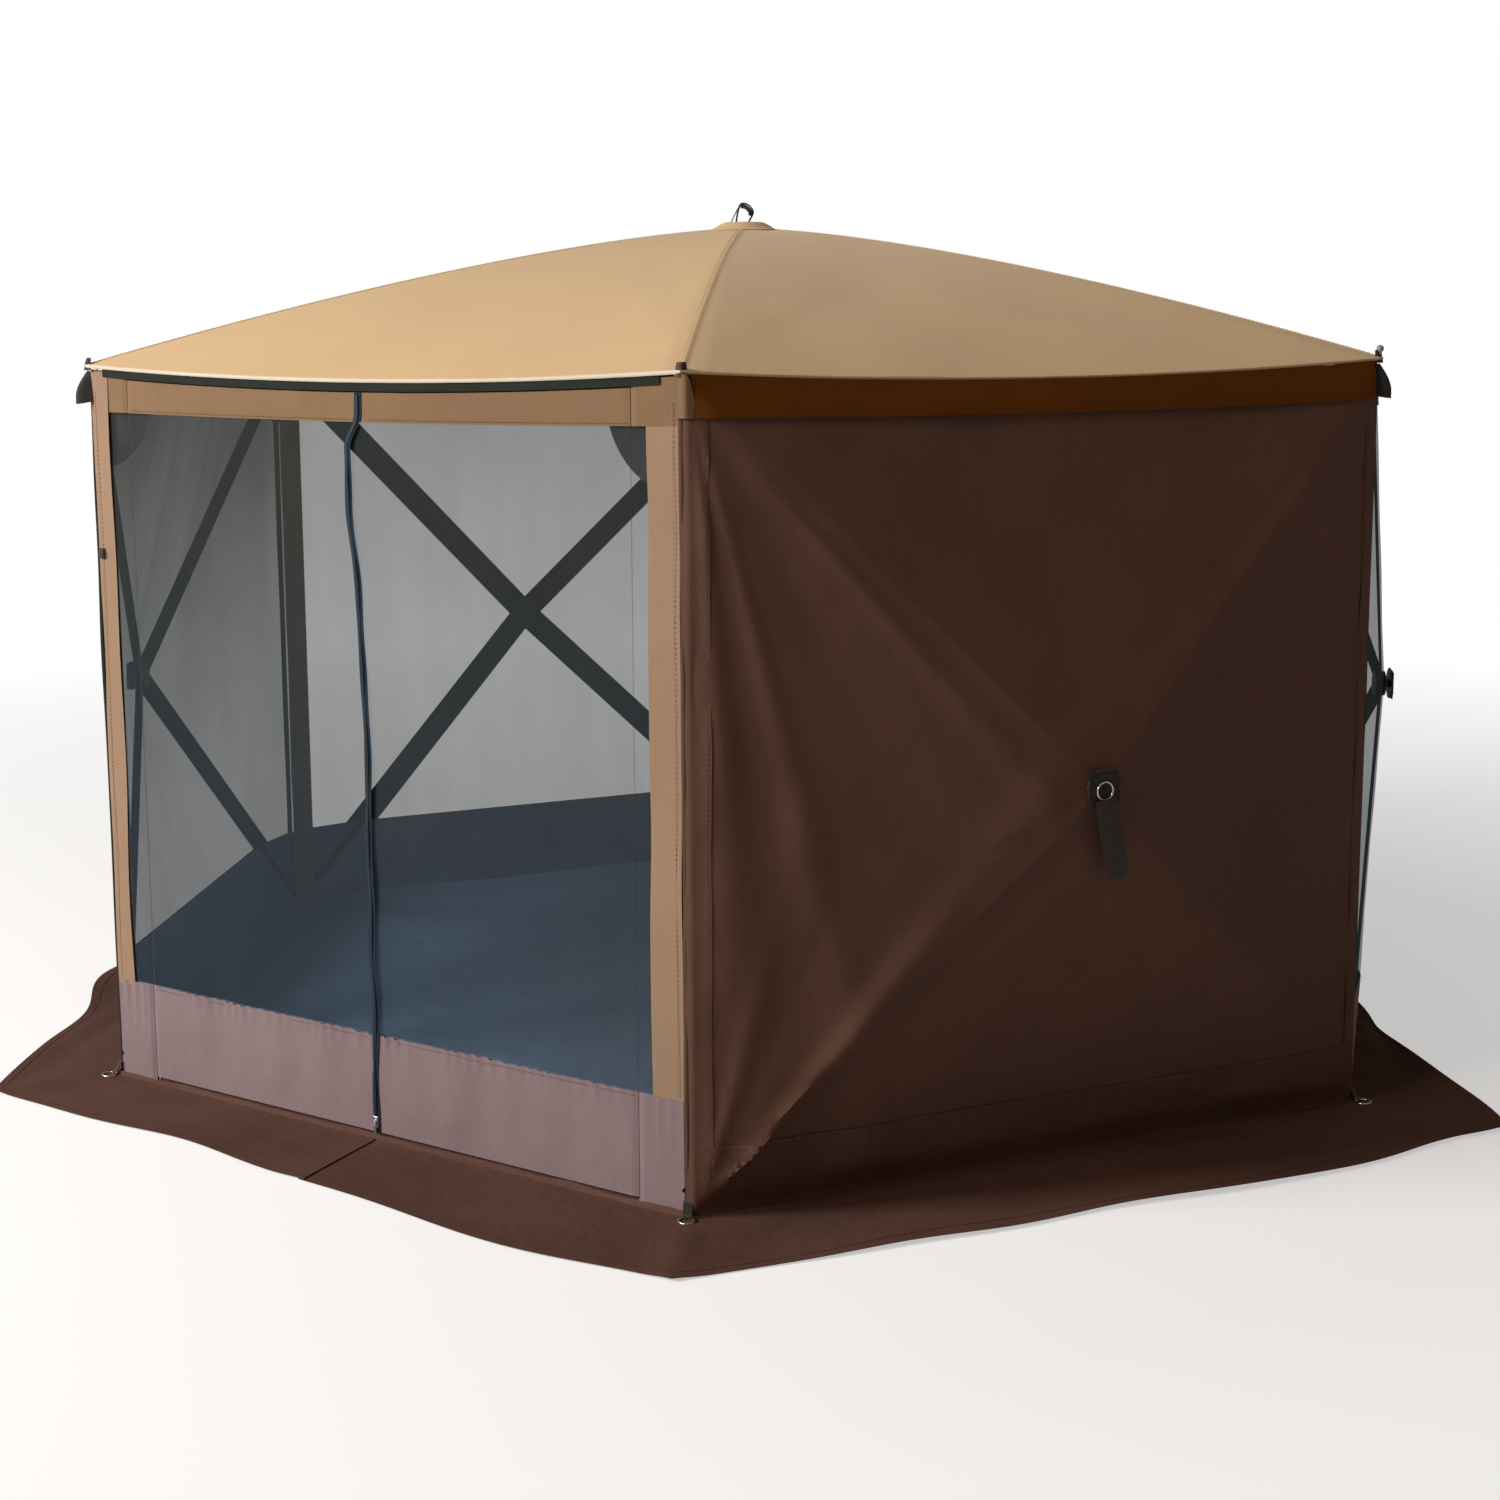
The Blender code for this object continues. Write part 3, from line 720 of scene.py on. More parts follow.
def over_ridge(corner, distances, offsets):
    """A grid of plan places over a ridge, with the height of the roof's cloth at each."""
    direction = corner_direction(corner)
    out, aside = distances[:, None], offsets[None, :]
    x = direction[0] * out + direction[1] * aside
    y = direction[1] * out - direction[0] * aside
    return x, y, roof_at(x, y)


def add_ridge_seam(corner):
    """A narrow felled seam over a ridge, stitched along both edges."""
    direction = corner_direction(corner)
    across = np.array((-direction[1], direction[0], 0))
    half = 0.009
    offsets = np.linspace(-half, half, 5)
    x, y, cloth = over_ridge(corner, np.linspace(0.05, ROOF_EDGE_RADIUS - 0.004, 64), offsets)
    height = cloth + 0.0004 + 0.0018 * (1 - (offsets / half) ** 4)
    sections, flat = line_grid(stack(x, y, height), offsets)
    mesh = cloth_mesh("seam", [(sections[::-1], flat[::-1])], TRIM_THICKNESS)
    for side in (-1, 1):
        path = ridge_path(corner, 0.06, ROOF_EDGE_RADIUS - 0.02, 0.0) + across * side * 0.006
        path[:, 2] = roof_at(path[:, 0], path[:, 1]) + 0.0030
        add_stitches(mesh, [path])
    name = f"roof_seam_{CORNERS[corner]}"
    return roof_blend(add_piece(name, mesh, "roof", "thread_tan"))


def add_roof_sleeve(corner, label):
    """A flat sleeve under one of the roof's ridges, which holds a roof pole."""
    distances = np.linspace(0.03, ROOF_EDGE_RADIUS - 0.05, 60)
    offsets = np.linspace(-ROOF_SLEEVE_HALF, ROOF_SLEEVE_HALF, 9)
    x, y, cloth = over_ridge(corner, distances, offsets)
    belly = ridge_height(distances)[:, None] - ROOF_SLEEVE_DEEP
    share = (1 - (offsets / ROOF_SLEEVE_HALF) ** 2) ** 1.3
    height = bellied(cloth - 0.004, belly, share)
    mesh = cloth_mesh("roof_sleeve", [line_grid(stack(x, y, height), offsets)], TRIM_THICKNESS)
    sleeve = add_piece(f"roof_sleeve_{label}", mesh, "sleeve")
    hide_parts(f"roof_pole_{label}")
    return roof_blend(sleeve)


def add_hem(corner):
    """The eave's turned hem: a soft roll that hangs just below the roof's edge."""
    path = eave_path(corner, 0.0, count=90)
    chord = np.linalg.norm(path[-1] - path[0])
    outward = np.append(corner_direction(corner) + corner_direction(corner + 1), 0)
    outward /= np.linalg.norm(outward)
    along = np.linspace(0, chord, len(path))
    wobble = 0.0014 * puckers(along, 60 + corner, 0.05)
    # Painted highlight: the door wall's hem is paler than the others.
    finish = "hem" if corner == DOOR_WALL else "roof"
    profile = [(-0.012, 0.0020), (-0.003, 0.0027), (0.0017, 0.0000), (0.0012, -0.002), (-0.002, -0.0048)]
    sections = []
    for point, bump in zip(path, wobble):
        sections.append([point + outward * (out + bump) + np.array((0, 0, up)) for out, up in profile])
    grid = line_grid(sections, np.linspace(0, 0.03, len(profile)))
    mesh = cloth_mesh("hem", [grid], TRIM_THICKNESS)
    name = f"roof_hem_{CORNERS[corner]}"
    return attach(add_piece(name, mesh, finish), "shelter")


# ---- Hub walls
def wall_sides(shares, steps):
    """Flat places and depths of a wall's cloth, as four triangles between its hub and its edges."""
    s = np.array(shares)[::-1, None]
    u = np.linspace(-1, 1, steps + 1)[None, :]
    ends = smooth(s, 0.95, 1.0)
    crown = WALL_HEIGHT - WALL_TOP_GAP
    middle, tall = (WALL_FOOT + crown) / 2, (crown - WALL_FOOT) / 2
    sag = EAVE_SAG * (1 - u * u)
    wide, rise = HALF_WALL * s, HALF_RISE * s
    inner = (
        (u * wide, HUB_HEIGHT - rise + 0 * u),
        (wide + 0 * u, HUB_HEIGHT + u * rise),
        (-u * wide, HUB_HEIGHT + rise - sag * s ** 2),
        (-wide + 0 * u, HUB_HEIGHT - u * rise),
    )
    outer = (
        (u * EDGE_X, WALL_FOOT + 0 * u),
        (EDGE_X + 0 * u, middle + u * tall),
        (-u * EDGE_X, crown - sag),
        (-EDGE_X + 0 * u, middle - u * tall),
    )
    depth = HUB_BULGE * (1 - s) + 0 * u
    sides = []
    for (xi, yi), (xo, yo) in zip(inner, outer):
        sides.append((xi + (xo - xi) * ends, yi + (yo - yi) * ends, depth))
    return sides


def looseness(share):
    """How free a wall's cloth is to fold: 0 at its hub and along its edge, 1 between them."""
    return smooth(share, 0.02, 0.15) * (1 - smooth(share, 0.93, 1.0))


def wall_sheet(name, shares, steps, offset, folds, thickness):
    """A whole wall's cloth in its wall's frame, offset outwards, with folds added to its depth."""
    patches = []
    for x, y, depth in wall_sides(shares, steps):
        loose = looseness(wall_share(x, y))
        patches.append((stack(x, y, depth + offset + folds(x, y) * loose), stack(x, y)))
    return cloth_mesh(name, patches, thickness)


def wall_blend(piece):
    """The piece, offset outwards from the cloth, with its placement baked into its mesh."""
    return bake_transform(piece)


def strip(x_low, x_high, y_low, y_high, columns, rows):
    """Flat places of a strip; each edge is a number or a function of the place along it."""
    t = np.linspace(0, 1, columns + 1)[None, :]
    s = np.linspace(0, 1, rows + 1)[:, None]
    if callable(y_low) or callable(y_high):
        x = x_low + (x_high - x_low) * t + 0 * s
        low = y_low(x) if callable(y_low) else y_low
        high = y_high(x) if callable(y_high) else y_high
        return x, low + (high - low) * s
    y = y_low + (y_high - y_low) * s + 0 * t
    low = x_low(y) if callable(x_low) else x_low
    high = x_high(y) if callable(x_high) else x_high
    return low + (high - low) * t, y


def eave_line(below):
    """The eave's height over x, less a fixed distance."""
    return lambda x: WALL_HEIGHT - eave_drop(x) - below


def header_foot(x):
    """The lower edge of a header, flatter than the eave above it."""
    return WALL_HEIGHT - HEADER_DROP - 0.35 * eave_drop(x)


def surface_path(x, y, offset):
    """A line on a hub wall's cloth, in the wall's frame."""
    return stack(x, y, wall_depth(x, y) + offset)


def add_strip(name, place, spot, depth, finish, thread=None, rows_of_thread=(), outward=(0, 0, 1)):
    """A strip of cloth at flat places spot, with its depth, in the wall frame place."""
    x, y = spot
    mesh = cloth_mesh(name, [(stack(x, y, depth), stack(x, y))])
    if thread is not None:
        add_stitches(mesh, rows_of_thread, outward)
    placed(mesh, place)
    return add_piece(name, mesh, finish, thread)


def add_lining(name, place, spot, depth, finish):
    """A backing of the slate ground cloth, which faces inwards."""
    x, y = spot
    mesh = cloth_mesh(name, [(stack(x, y, depth)[:, ::-1], stack(x, y)[:, ::-1])])
    return add_piece(name, placed(mesh, place), finish)


def add_foot_seam(wall, label):
    """The dark seam that joins a wall's foot to the skirt."""
    spot = strip(-HALF_WALL - 0.002, HALF_WALL + 0.002, 0.001, 0.015, 160, 4)
    x, y = spot
    uneven = 0.0022 * ripples(x, 0, 640 + wall, 0.16) + 0.0016 * puckers(x, 650 + wall, 0.04)
    spot = (x, y + uneven * (y / 0.015))
    depth = 0.0135 - 0.35 * y + 0.0010 * ripples(x, y, 660 + wall, 0.12)
    seam = add_strip(f"foot_seam_{label}", wall_frame(wall), spot, depth, "skirt")
    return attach(seam, "shelter")


def add_header(wall, label, along):
    """The tan band under a wall's eave, stitched near its foot."""
    spot = strip(-EDGE_X, EDGE_X, header_foot, eave_line(WALL_TOP_GAP), 72, 5)
    depth = wall_depth(*spot) + TRIM_LIFT + 0.0012 * ripples(*spot, 100 + wall, 0.30)
    thread = [surface_path(along, header_foot(along) + 0.008, TRIM_LIFT + 0.0022)]
    return add_strip(f"header_{label}", wall_frame(wall), spot, depth, "tan",
                     "thread_tan", thread)


def add_side_strip(wall, label, side, end):
    """The dark strip at one end of a wall, with an uneven inner edge."""
    def inner(y):
        wave = 0.003 * ripples(y, 0, 130 + wall * 2 + side, 0.5)
        return side * (HALF_WALL - SIDE_STRIP_WIDTH + wave)

    bounds = ordered(side, side * EDGE_X, inner)
    spot = strip(*bounds, BAND_HEIGHT - 0.01, WALL_HEIGHT - HEADER_DROP + 0.01, 4, 60)
    depth = wall_depth(*spot) + TRIM_LIFT - 0.0008
    name = f"side_strip_{label}_{end}"
    return add_strip(name, wall_frame(wall), spot, depth, "binding")


def add_wall_trim(wall, label):
    """Header, side strips and lower band on the outside of one hub wall, and the band's lining.

    The wind panel hides the header and the band of its own wall, so they are left out there.
    """
    place = wall_frame(wall)
    covered = wall == PANEL_WALL
    along = np.linspace(-EDGE_X, EDGE_X, 90)
    pieces = [] if covered else [add_header(wall, label, along)]
    pieces += [add_side_strip(wall, label, side, end) for side, end in BOTH_SIDES]
    spot = strip(-EDGE_X, EDGE_X, WALL_FOOT, BAND_HEIGHT, 110, 10)
    if not covered:
        gather = puckers(spot[0], 170 + wall) * smooth(spot[1], BAND_HEIGHT * 0.55, BAND_HEIGHT)
        depth = wall_depth(*spot) + TRIM_LIFT + 0.0012 * gather
        thread = [surface_path(along, BAND_HEIGHT - 0.008, TRIM_LIFT + 0.0030)]
        pieces.append(add_strip(f"lower_band_{label}", place, spot, depth, "band",
                                "thread_tan", thread))
    # Painted light: the left wall's lining is the lighter copy of the slate.
    finish = "lit_slate" if label == "left" else "slate"
    lining = add_lining(f"lower_lining_{label}", place, spot, wall_depth(*spot) - LINING_SETBACK, finish)
    for piece in pieces:
        wall_blend(piece)
    return [*pieces, wall_blend(lining)]


def add_sleeves(wall, label):
    """Flat dark sleeves that hold the four poles against the inside of a wall."""
    sleeves = []
    length = math.hypot(HALF_WALL, HALF_RISE)
    distance = np.linspace(0.0, length - 0.02, 56)[:, None]
    offsets = np.linspace(-SLEEVE_HALF, SLEEVE_HALF, 9)
    belly = HUB_BULGE * (1 - distance / length) - SLEEVE_DEEP
    share = (1 - (offsets / SLEEVE_HALF) ** 2) ** 1.5
    for end, (side, up) in ENDS.items():
        run_x, run_y = HALF_WALL / length * side, HALF_RISE / length * up
        x = run_x * distance - run_y * offsets
        y = HUB_HEIGHT + run_y * distance + run_x * offsets
        sections = stack(x, y, bellied(wall_depth(x, y) - 0.002, belly, share))
        name = f"sleeve_{label}_{end}"
        sleeve = add_lofted(name, wall_frame(wall), sections, offsets, "sleeve")
        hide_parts(f"pole_{label}_{end}")
        sleeves.append(wall_blend(sleeve))
    return sleeves


def add_corner_gussets(wall, label):
    """Dark quarter-round patches inside the top corners of a wall, where pole ends push."""
    place = wall_frame(wall)
    gussets = []
    for side, end in BOTH_SIDES:
        patch = gusset_patch(side, GUSSET_SIZE, -0.004)
        mesh = placed(cloth_mesh("gusset", [patch], TRIM_THICKNESS), place)
        gusset = add_piece(f"gusset_{label}_{end}", mesh, "sleeve")
        gussets.append(wall_blend(gusset))
    return gussets


def gusset_patch(side, size, offset):
    """A quarter round below the header, at one end of a wall."""
    turn = np.linspace(0, math.pi / 2, 13)[None, :]
    radius = np.linspace(0.02, size, 6)[:, None]
    x = side * (EDGE_X - radius * np.sin(turn))
    y = WALL_HEIGHT - 0.03 - eave_drop(x) - radius * np.cos(turn) * 1.15
    grid, flat = stack(x, y, wall_depth(x, y) + offset), stack(x, y)
    if side > 0:
        return grid[:, ::-1], flat[:, ::-1]
    return grid, flat


def add_hub_wall(wall, label):
    """The netting of one hub wall, with its trim, sleeves and gussets."""
    shares = np.concatenate([[0.018, 0.05], np.linspace(0.08, 0.96, 26), [0.98, 1.0]])

    def slack(x, y):
        return 0.0012 * ripples(x, y, 200 + wall, 0.45)

    mesh = placed(wall_sheet("netting", shares, 26, 0.0, slack, 0), wall_frame(wall))
    # Painted shade: the left wall gets the denser, darker copy of the netting.
    finish = "shaded_left_mesh" if label == "left" else "screen_mesh"
    netting = add_piece(f"netting_{label}", mesh, finish)
    wall_blend(netting)
    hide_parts(f"screen_{label}")
    trim = add_wall_trim(wall, label) + add_sleeves(wall, label) + add_corner_gussets(wall, label)
    trim += [add_hub_patch(wall, label), add_foot_seam(wall, label), *add_corner(wall, CORNERS[wall])]


# ---- Wind panel
def panel_folds(x, y):
    """Creases of the loose brown panel: they fan out from its corners and hang down its left side."""
    head, foot = WALL_HEIGHT - 0.06, 0.02
    top_left, foot_left = (-EDGE_X, head), (-EDGE_X, foot)
    total = 0.0022 * ripples(x, y, 304, 0.34)
    for height, start, heading, width, reach in (
        (0.008, top_left, -86, 2.6, 0.95),
        (-0.008, top_left, -81, 2.4, 0.90),
        (0.012, top_left, -76, 2.6, 0.85),
        (-0.010, top_left, -62, 5.5, 0.60),
        (0.010, top_left, -49, 2.2, 0.60),
        (0.007, foot_left, 75, 3.0, 0.30),
        (-0.007, foot_left, 66, 3.4, 0.36),
        (0.022, foot_left, 49.5, 3.0, 0.36),
        (-0.014, foot_left, 42, 2.4, 0.40),
    ):
        total = total + height * fold(x, y, start, heading, width, reach)
    total = total + 0.004 * fan(x, y, (EDGE_X, head), -135, 38, 301)
    total = total + 0.005 * fan(x, y, (EDGE_X, foot), 140, 40, 302)
    total = total + 0.004 * fan(x, y, (0, HUB_HEIGHT), -110, 70, 303, 9)
    return PANEL_SLACK + np.where(total > 0, total, 0.7 * total)


def panel_depth(x, y):
    """Depth of the panel's outer face."""
    loose = looseness(wall_share(x, y))
    return wall_depth(x, y) + PANEL_OFFSET + CLOTH + panel_folds(x, y) * loose


def valance_foot(x):
    """The valance's lower edge, a little above the other walls' header feet."""
    return header_foot(x) + 0.017


def add_panel_edge(side, label, place):
    """The stitched border of the panel, which wraps the corner's binding."""
    bounds = ordered(side, side * (HALF_WALL + 0.003), side * (HALF_WALL - SIDE_STRIP_WIDTH))
    spot = strip(*bounds, 0.016, WALL_HEIGHT - 0.070, 10, 110)
    wavy = 0.0018 * ripples(*spot, 330 + side, 0.22)
    wrap = 0.010 * smooth(side * spot[0], HALF_WALL - 0.008, HALF_WALL + 0.003)
    depth = panel_depth(*spot) + 0.0016 + wavy - wrap
    along = np.linspace(0.03, WALL_HEIGHT - 0.080, 90)
    across = side * (HALF_WALL - 0.038)
    row = stack(across, along, panel_depth(across, along) + 0.0052)
    border = add_strip(f"panel_edge_{label}", place, spot, depth, "panel",
                       "thread_brown", [row])
    return wall_blend(border)


def add_panel_hem(place, along):
    """The gathered band along the panel's foot, stitched at its top."""
    spot = strip(-EDGE_X, EDGE_X, WALL_FOOT, PANEL_SEAM, 150, 10)
    gather = puckers(spot[0], 310, 0.036) * smooth(spot[1], PANEL_SEAM * 0.6, PANEL_SEAM)
    depth = panel_depth(*spot) + 0.0026 + 0.0045 * gather
    level = PANEL_SEAM - 0.010
    row = stack(along, level, panel_depth(along, level) + 0.0058)
    hem = add_strip("panel_hem", place, spot, depth, "panel", "thread_brown", [row])
    return wall_blend(hem)


def add_valance(place, along):
    """The dark rust valance over the panel's head, which hangs loose at its foot. Its colour is partly its
    own dark cloth and partly painted shade of the shaded wall.
    """
    spot = strip(-EDGE_X, EDGE_X, valance_foot, eave_line(WALL_TOP_GAP - 0.004), 110, 8)
    loose = 1 - smooth(spot[1], WALL_HEIGHT - 0.13, WALL_HEIGHT - 0.05)
    depth = panel_depth(*spot) + 0.004 + loose * (0.007 + 0.004 * ripples(*spot, 320, 0.4))
    level = valance_foot(along) + 0.010
    row_depth = panel_depth(along, level) + 0.0145 + 0.004 * ripples(along, level, 320, 0.4)
    row = stack(along, level, row_depth)
    valance = add_strip("valance", place, spot, depth, "valance", "thread_brown", [row])
    return wall_blend(valance)


def add_wind_panel():
    """The solid brown panel over the front right wall, its hem and the valance that it hangs under."""
    place = wall_frame(PANEL_WALL)
    shares = np.concatenate([[0.018, 0.04], np.linspace(0.06, 0.97, 58), [0.985, 1.0]])
    mesh = placed(wall_sheet("panel", shares, 64, PANEL_OFFSET, panel_folds, CLOTH), place)
    panel = add_piece("panel_sheet", mesh, "panel")
    wall_blend(panel)
    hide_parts("wind_panel")
    along = np.linspace(-EDGE_X, EDGE_X, 160)
    hem = add_panel_hem(place, along)
    edges = [add_panel_edge(side, label, place) for side, label in BOTH_SIDES]
    valance = add_valance(place, along)


# ---- Door wall
HINGE_X = 0.765
LEAF_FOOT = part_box("door_leaf_right")[0].z
LEAF_TOP_GAP = 0.028
HINGE_GAP = 0.0007
ZIP_FOOT = 0.022
ZIP_TOP = WALL_HEIGHT - EAVE_SAG - LEAF_TOP_GAP


def zip_line(y):
    """Where the zip runs: slack netting lets it wander sideways between its foot and its head."""
    share = np.clip(y / (WALL_HEIGHT - 0.10), 0, 1)
    crook = np.exp(-((share - 0.93) / 0.18) ** 2) * (1 - smooth(share, 0.955, 1.0))
    pull = -0.006 * (1 - smooth(share, 0.55, 0.97)) - 0.036 * crook
    belly = 0.004 * np.sin(math.pi * share) ** 2 * (1 - smooth(share, 0.62, 0.90))
    wobble = 0.0035 * ripples(y, 0, 410, 0.35) * smooth(y, 0.05, 0.3) * (1 - smooth(y, 1.45, 1.65))
    return pull + belly + wobble


def pinched(x, depth):
    """A layer's depth, drawn in to the hinge line so that a leaf turns without cutting the jamb."""
    near_hinge = 1 - smooth(np.abs(np.abs(x) - HINGE_X), 0.001, 0.016)
    return depth + (-CLOTH / 2 - depth) * near_hinge


def leaf_spot(side, y_low, y_high, columns, rows, gap=HINGE_GAP):
    """Flat places on a door leaf, from its hinge to the zip."""
    hinge = side * (HINGE_X - gap)
    x, y = strip(hinge, 0, y_low, y_high, columns, rows)
    x = hinge + (zip_line(y) - hinge) * (1 - x / hinge)
    if side > 0:
        return x[:, ::-1], y[:, ::-1]
    return x, y


def leaf_sway(x, y):
    """Slack of the door's cloth, shared by its layers: none at the hinges, the foot and the eave."""
    free = 1 - smooth(np.abs(x), 0.55, 0.74)
    netting = smooth(y, BAND_HEIGHT, 0.6) * (1 - smooth(y, 1.45, 1.65)) * ripples(x, 0.25 * y, 420, 0.25)
    band = smooth(y, 0.02, 0.10) * (1 - smooth(y, BAND_HEIGHT, 0.5)) * ripples(x, 0.5 * y, 446, 0.20)
    return free * (0.0035 * netting + 0.0030 * band)


def add_leaf_header(side, label, place, along):
    """The leaf's half of the tan header, stitched near its foot."""
    spot = leaf_spot(side, header_foot, eave_line(LEAF_TOP_GAP), 96, 6)
    free = smooth(HINGE_X - np.abs(spot[0]), 0.0, 0.04)
    depth = pinched(spot[0], 0.0014 + 0.0008 * free * ripples(*spot, 430 + side, 0.22))
    rows = [stack(along, header_foot(along) + 0.007, 0.0052)]
    return add_strip(f"leaf_header_{label}", place, spot, depth, "tan", "thread_tan", rows)


def add_leaf_band(side, label, place, along):
    """The leaf's lower band, gathered at its top, and the band's lining."""
    def gathered_top(x):
        return BAND_HEIGHT - 0.0030 * puckers(x, 440 + side, 0.034)

    spot = leaf_spot(side, LEAF_FOOT, gathered_top, 110, 14)
    gather = puckers(spot[0], 440 + side, 0.034) * smooth(spot[1], BAND_HEIGHT * 0.80, BAND_HEIGHT)
    gather = gather * smooth(HINGE_X - np.abs(spot[0]), 0.0, 0.05)
    sway = leaf_sway(*spot)
    depth = pinched(spot[0], 0.0026 + 0.0045 * gather + sway)
    rows = [stack(along, BAND_HEIGHT - 0.008, 0.0065)]
    band = add_strip(f"leaf_band_{label}", place, spot, depth, "band", "thread_tan", rows)
    depth = pinched(spot[0], sway - 0.004)
    return [band, add_lining(f"leaf_lining_{label}", place, spot, depth, "slate")]


def add_leaf(side, label):
    """One door leaf: netting, header half, lower band with its lining, zip tape and coil."""
    place = wall_frame(DOOR_WALL)
    body = f"door_leaf_{label}"
    x, y = leaf_spot(side, LEAF_FOOT, eave_line(LEAF_TOP_GAP), 48, 90, 0.0003)
    mesh = placed(cloth_mesh("leaf", [(stack(x, y, leaf_sway(x, y)), stack(x, y))], 0), place)
    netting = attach(add_piece(f"leaf_netting_{label}", mesh, "door_mesh"), body)
    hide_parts(body)
    along = np.linspace(0.02, HINGE_X, 50) * side
    trim = [add_leaf_header(side, label, place, along), *add_leaf_band(side, label, place, along)]
    trim += [add_zip_tape(side, label, place), add_zip_coil(side, label, place)]
    for piece in trim:
        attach(piece, body)


def add_zip_tape(side, label, place):
    """Half of the zip's tape, along the leaf's free edge."""
    y = np.linspace(ZIP_FOOT, ZIP_TOP, 130)
    offsets = (0.0006, 0.004, 0.009, ZIP_TAPE)
    sections = []
    for height in y:
        middle = float(zip_line(height))
        lift = 0.0062 + 0.0012 * math.sin(height * 31 + side)
        row = [(middle + side * offset, height, lift - 0.0012 * (offset / ZIP_TAPE)) for offset in offsets]
        sections.append(row if side > 0 else row[::-1])
    across = (0, *offsets[1:])
    return add_lofted(f"zip_tape_{label}", place, sections, across, "zip")


def add_zip_coil(side, label, place):
    """The zip's moulded coil, a bead of fine turns beside the middle."""
    y = np.arange(ZIP_FOOT + 0.004, ZIP_TOP - 0.004, COIL_PITCH)
    path = []
    for index, height in enumerate(y):
        middle = float(zip_line(height))
        swing = 0.0010 if index % 2 else 0.0022
        path.append((middle + side * swing, height, 0.0085))
    mesh = placed(tube_mesh("coil", path, 0.0013, sides=4), place)
    return add_piece(f"zip_coil_{label}", mesh, "hub")


def add_jamb_tape(side, label, place, outer):
    """The fixed pale strip beside the door, with an uneven inner edge and a row of stitches."""
    def edge(y):
        wave = JAMB_WAVE[side] * ripples(y, 0, 460 + side, 0.42)
        return side * (HALF_WALL - JAMB_WIDTH[side] + wave)

    bounds = ordered(side, outer, edge)
    spot = strip(*bounds, BAND_HEIGHT - 0.012, WALL_HEIGHT - WALL_TOP_GAP - 0.006, 6, 90)
    depth = 0.0026 + 0.0016 * ripples(*spot, 462 + side, 0.4)
    along = np.linspace(BAND_HEIGHT, WALL_HEIGHT - 0.05, 80)
    rows = [stack(side * (HALF_WALL - 0.020), along, 0.0062)]
    return add_strip(f"jamb_{label}", place, spot, depth, "jamb", "thread_tan", rows)


def add_jamb_netting(label, place, bounds, top):
    """The margin of netting beside the door, which laps a little behind the leaf."""
    x, y = strip(*bounds, BAND_HEIGHT, top, 24, 30)
    behind = -0.0016 * (1 - smooth(np.abs(x), HINGE_X + 0.001, HINGE_X + 0.012))
    mesh = placed(cloth_mesh("margin", [(stack(x, y, behind), stack(x, y))], 0), place)
    return add_piece(f"jamb_netting_{label}", mesh, "door_mesh")


def add_jamb_foot(side, label, place, margin, lapped_margin):
    """The lower band beside the door, and its lining, which laps behind the leaf."""
    spot = strip(*margin, WALL_FOOT, BAND_HEIGHT, 30, 12)
    gather = puckers(spot[0], 470 + side, 0.034) * smooth(spot[1], 0.1, BAND_HEIGHT)
    gather = gather * smooth(np.abs(spot[0]) - HINGE_X, 0.0, 0.03)
    depth = pinched(spot[0], 0.0034 + 0.003 * gather)
    band = add_strip(f"jamb_band_{label}", place, spot, depth, "band")
    spot = strip(*lapped_margin, WALL_FOOT, BAND_HEIGHT, 14, 12)
    return [band, add_lining(f"jamb_lining_{label}", place, spot, -0.0034, "slate")]


def add_jamb(side, label, extra):
    """The fixed cloth beside the door, up to the hinge line. The extra argument is not used."""
    place = wall_frame(DOOR_WALL)
    outer = side * (EDGE_X + 0.010)
    hinge = side * (HINGE_X + 2 * HINGE_GAP)
    margin = ordered(side, outer, hinge)
    lapped_margin = ordered(side, outer, side * (HINGE_X - 0.004))
    top = WALL_HEIGHT - LEAF_TOP_GAP - 0.02
    jamb = add_jamb_tape(side, label, place, outer)
    netting = add_jamb_netting(label, place, lapped_margin, top)
    pieces = [jamb, netting, *add_jamb_foot(side, label, place, margin, lapped_margin)]
    if label == "left":
        pieces.append(add_toggle(place, side * (HALF_WALL - 0.020), 1.365))
    spot = strip(*margin, header_foot, eave_line(WALL_TOP_GAP), 30, 5)
    depth = pinched(spot[0], TRIM_LIFT)
    pieces.append(add_strip(f"jamb_header_{label}", place, spot, depth, "tan"))
    pieces.append(add_door_gusset(side, label, place))
    for piece in pieces:
        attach(piece, "shelter")


def add_door_gusset(side, label, place):
    """A flat grey gusset inside a top corner of the door's wall."""
    gusset = cloth_mesh("gusset", [gusset_patch(side, DOOR_GUSSET_SIZE, -0.010)], TRIM_THICKNESS)
    gusset.vertices.foreach_set("co", np.ravel([(v.co.x, v.co.y, -0.010) for v in gusset.vertices]))
    return add_piece(f"gusset_door_{label}", placed(gusset, place), "gusset")


def add_toggle(place, x, y):
    """The short webbing tab on a jamb that ties the rolled door back."""
    rows = []
    for t in np.linspace(0, 1, 9):
        depth = 0.0050 + 0.0060 * math.sin(math.pi * t)
        across = np.linspace(-1, 1, 7)
        rows.append([(x + 0.007 * k, y - 0.026 * t, depth + 0.0012 * (1 - k * k)) for k in across])
    return add_corner_sheet("door_toggle_tab", place, rows, "webbing")


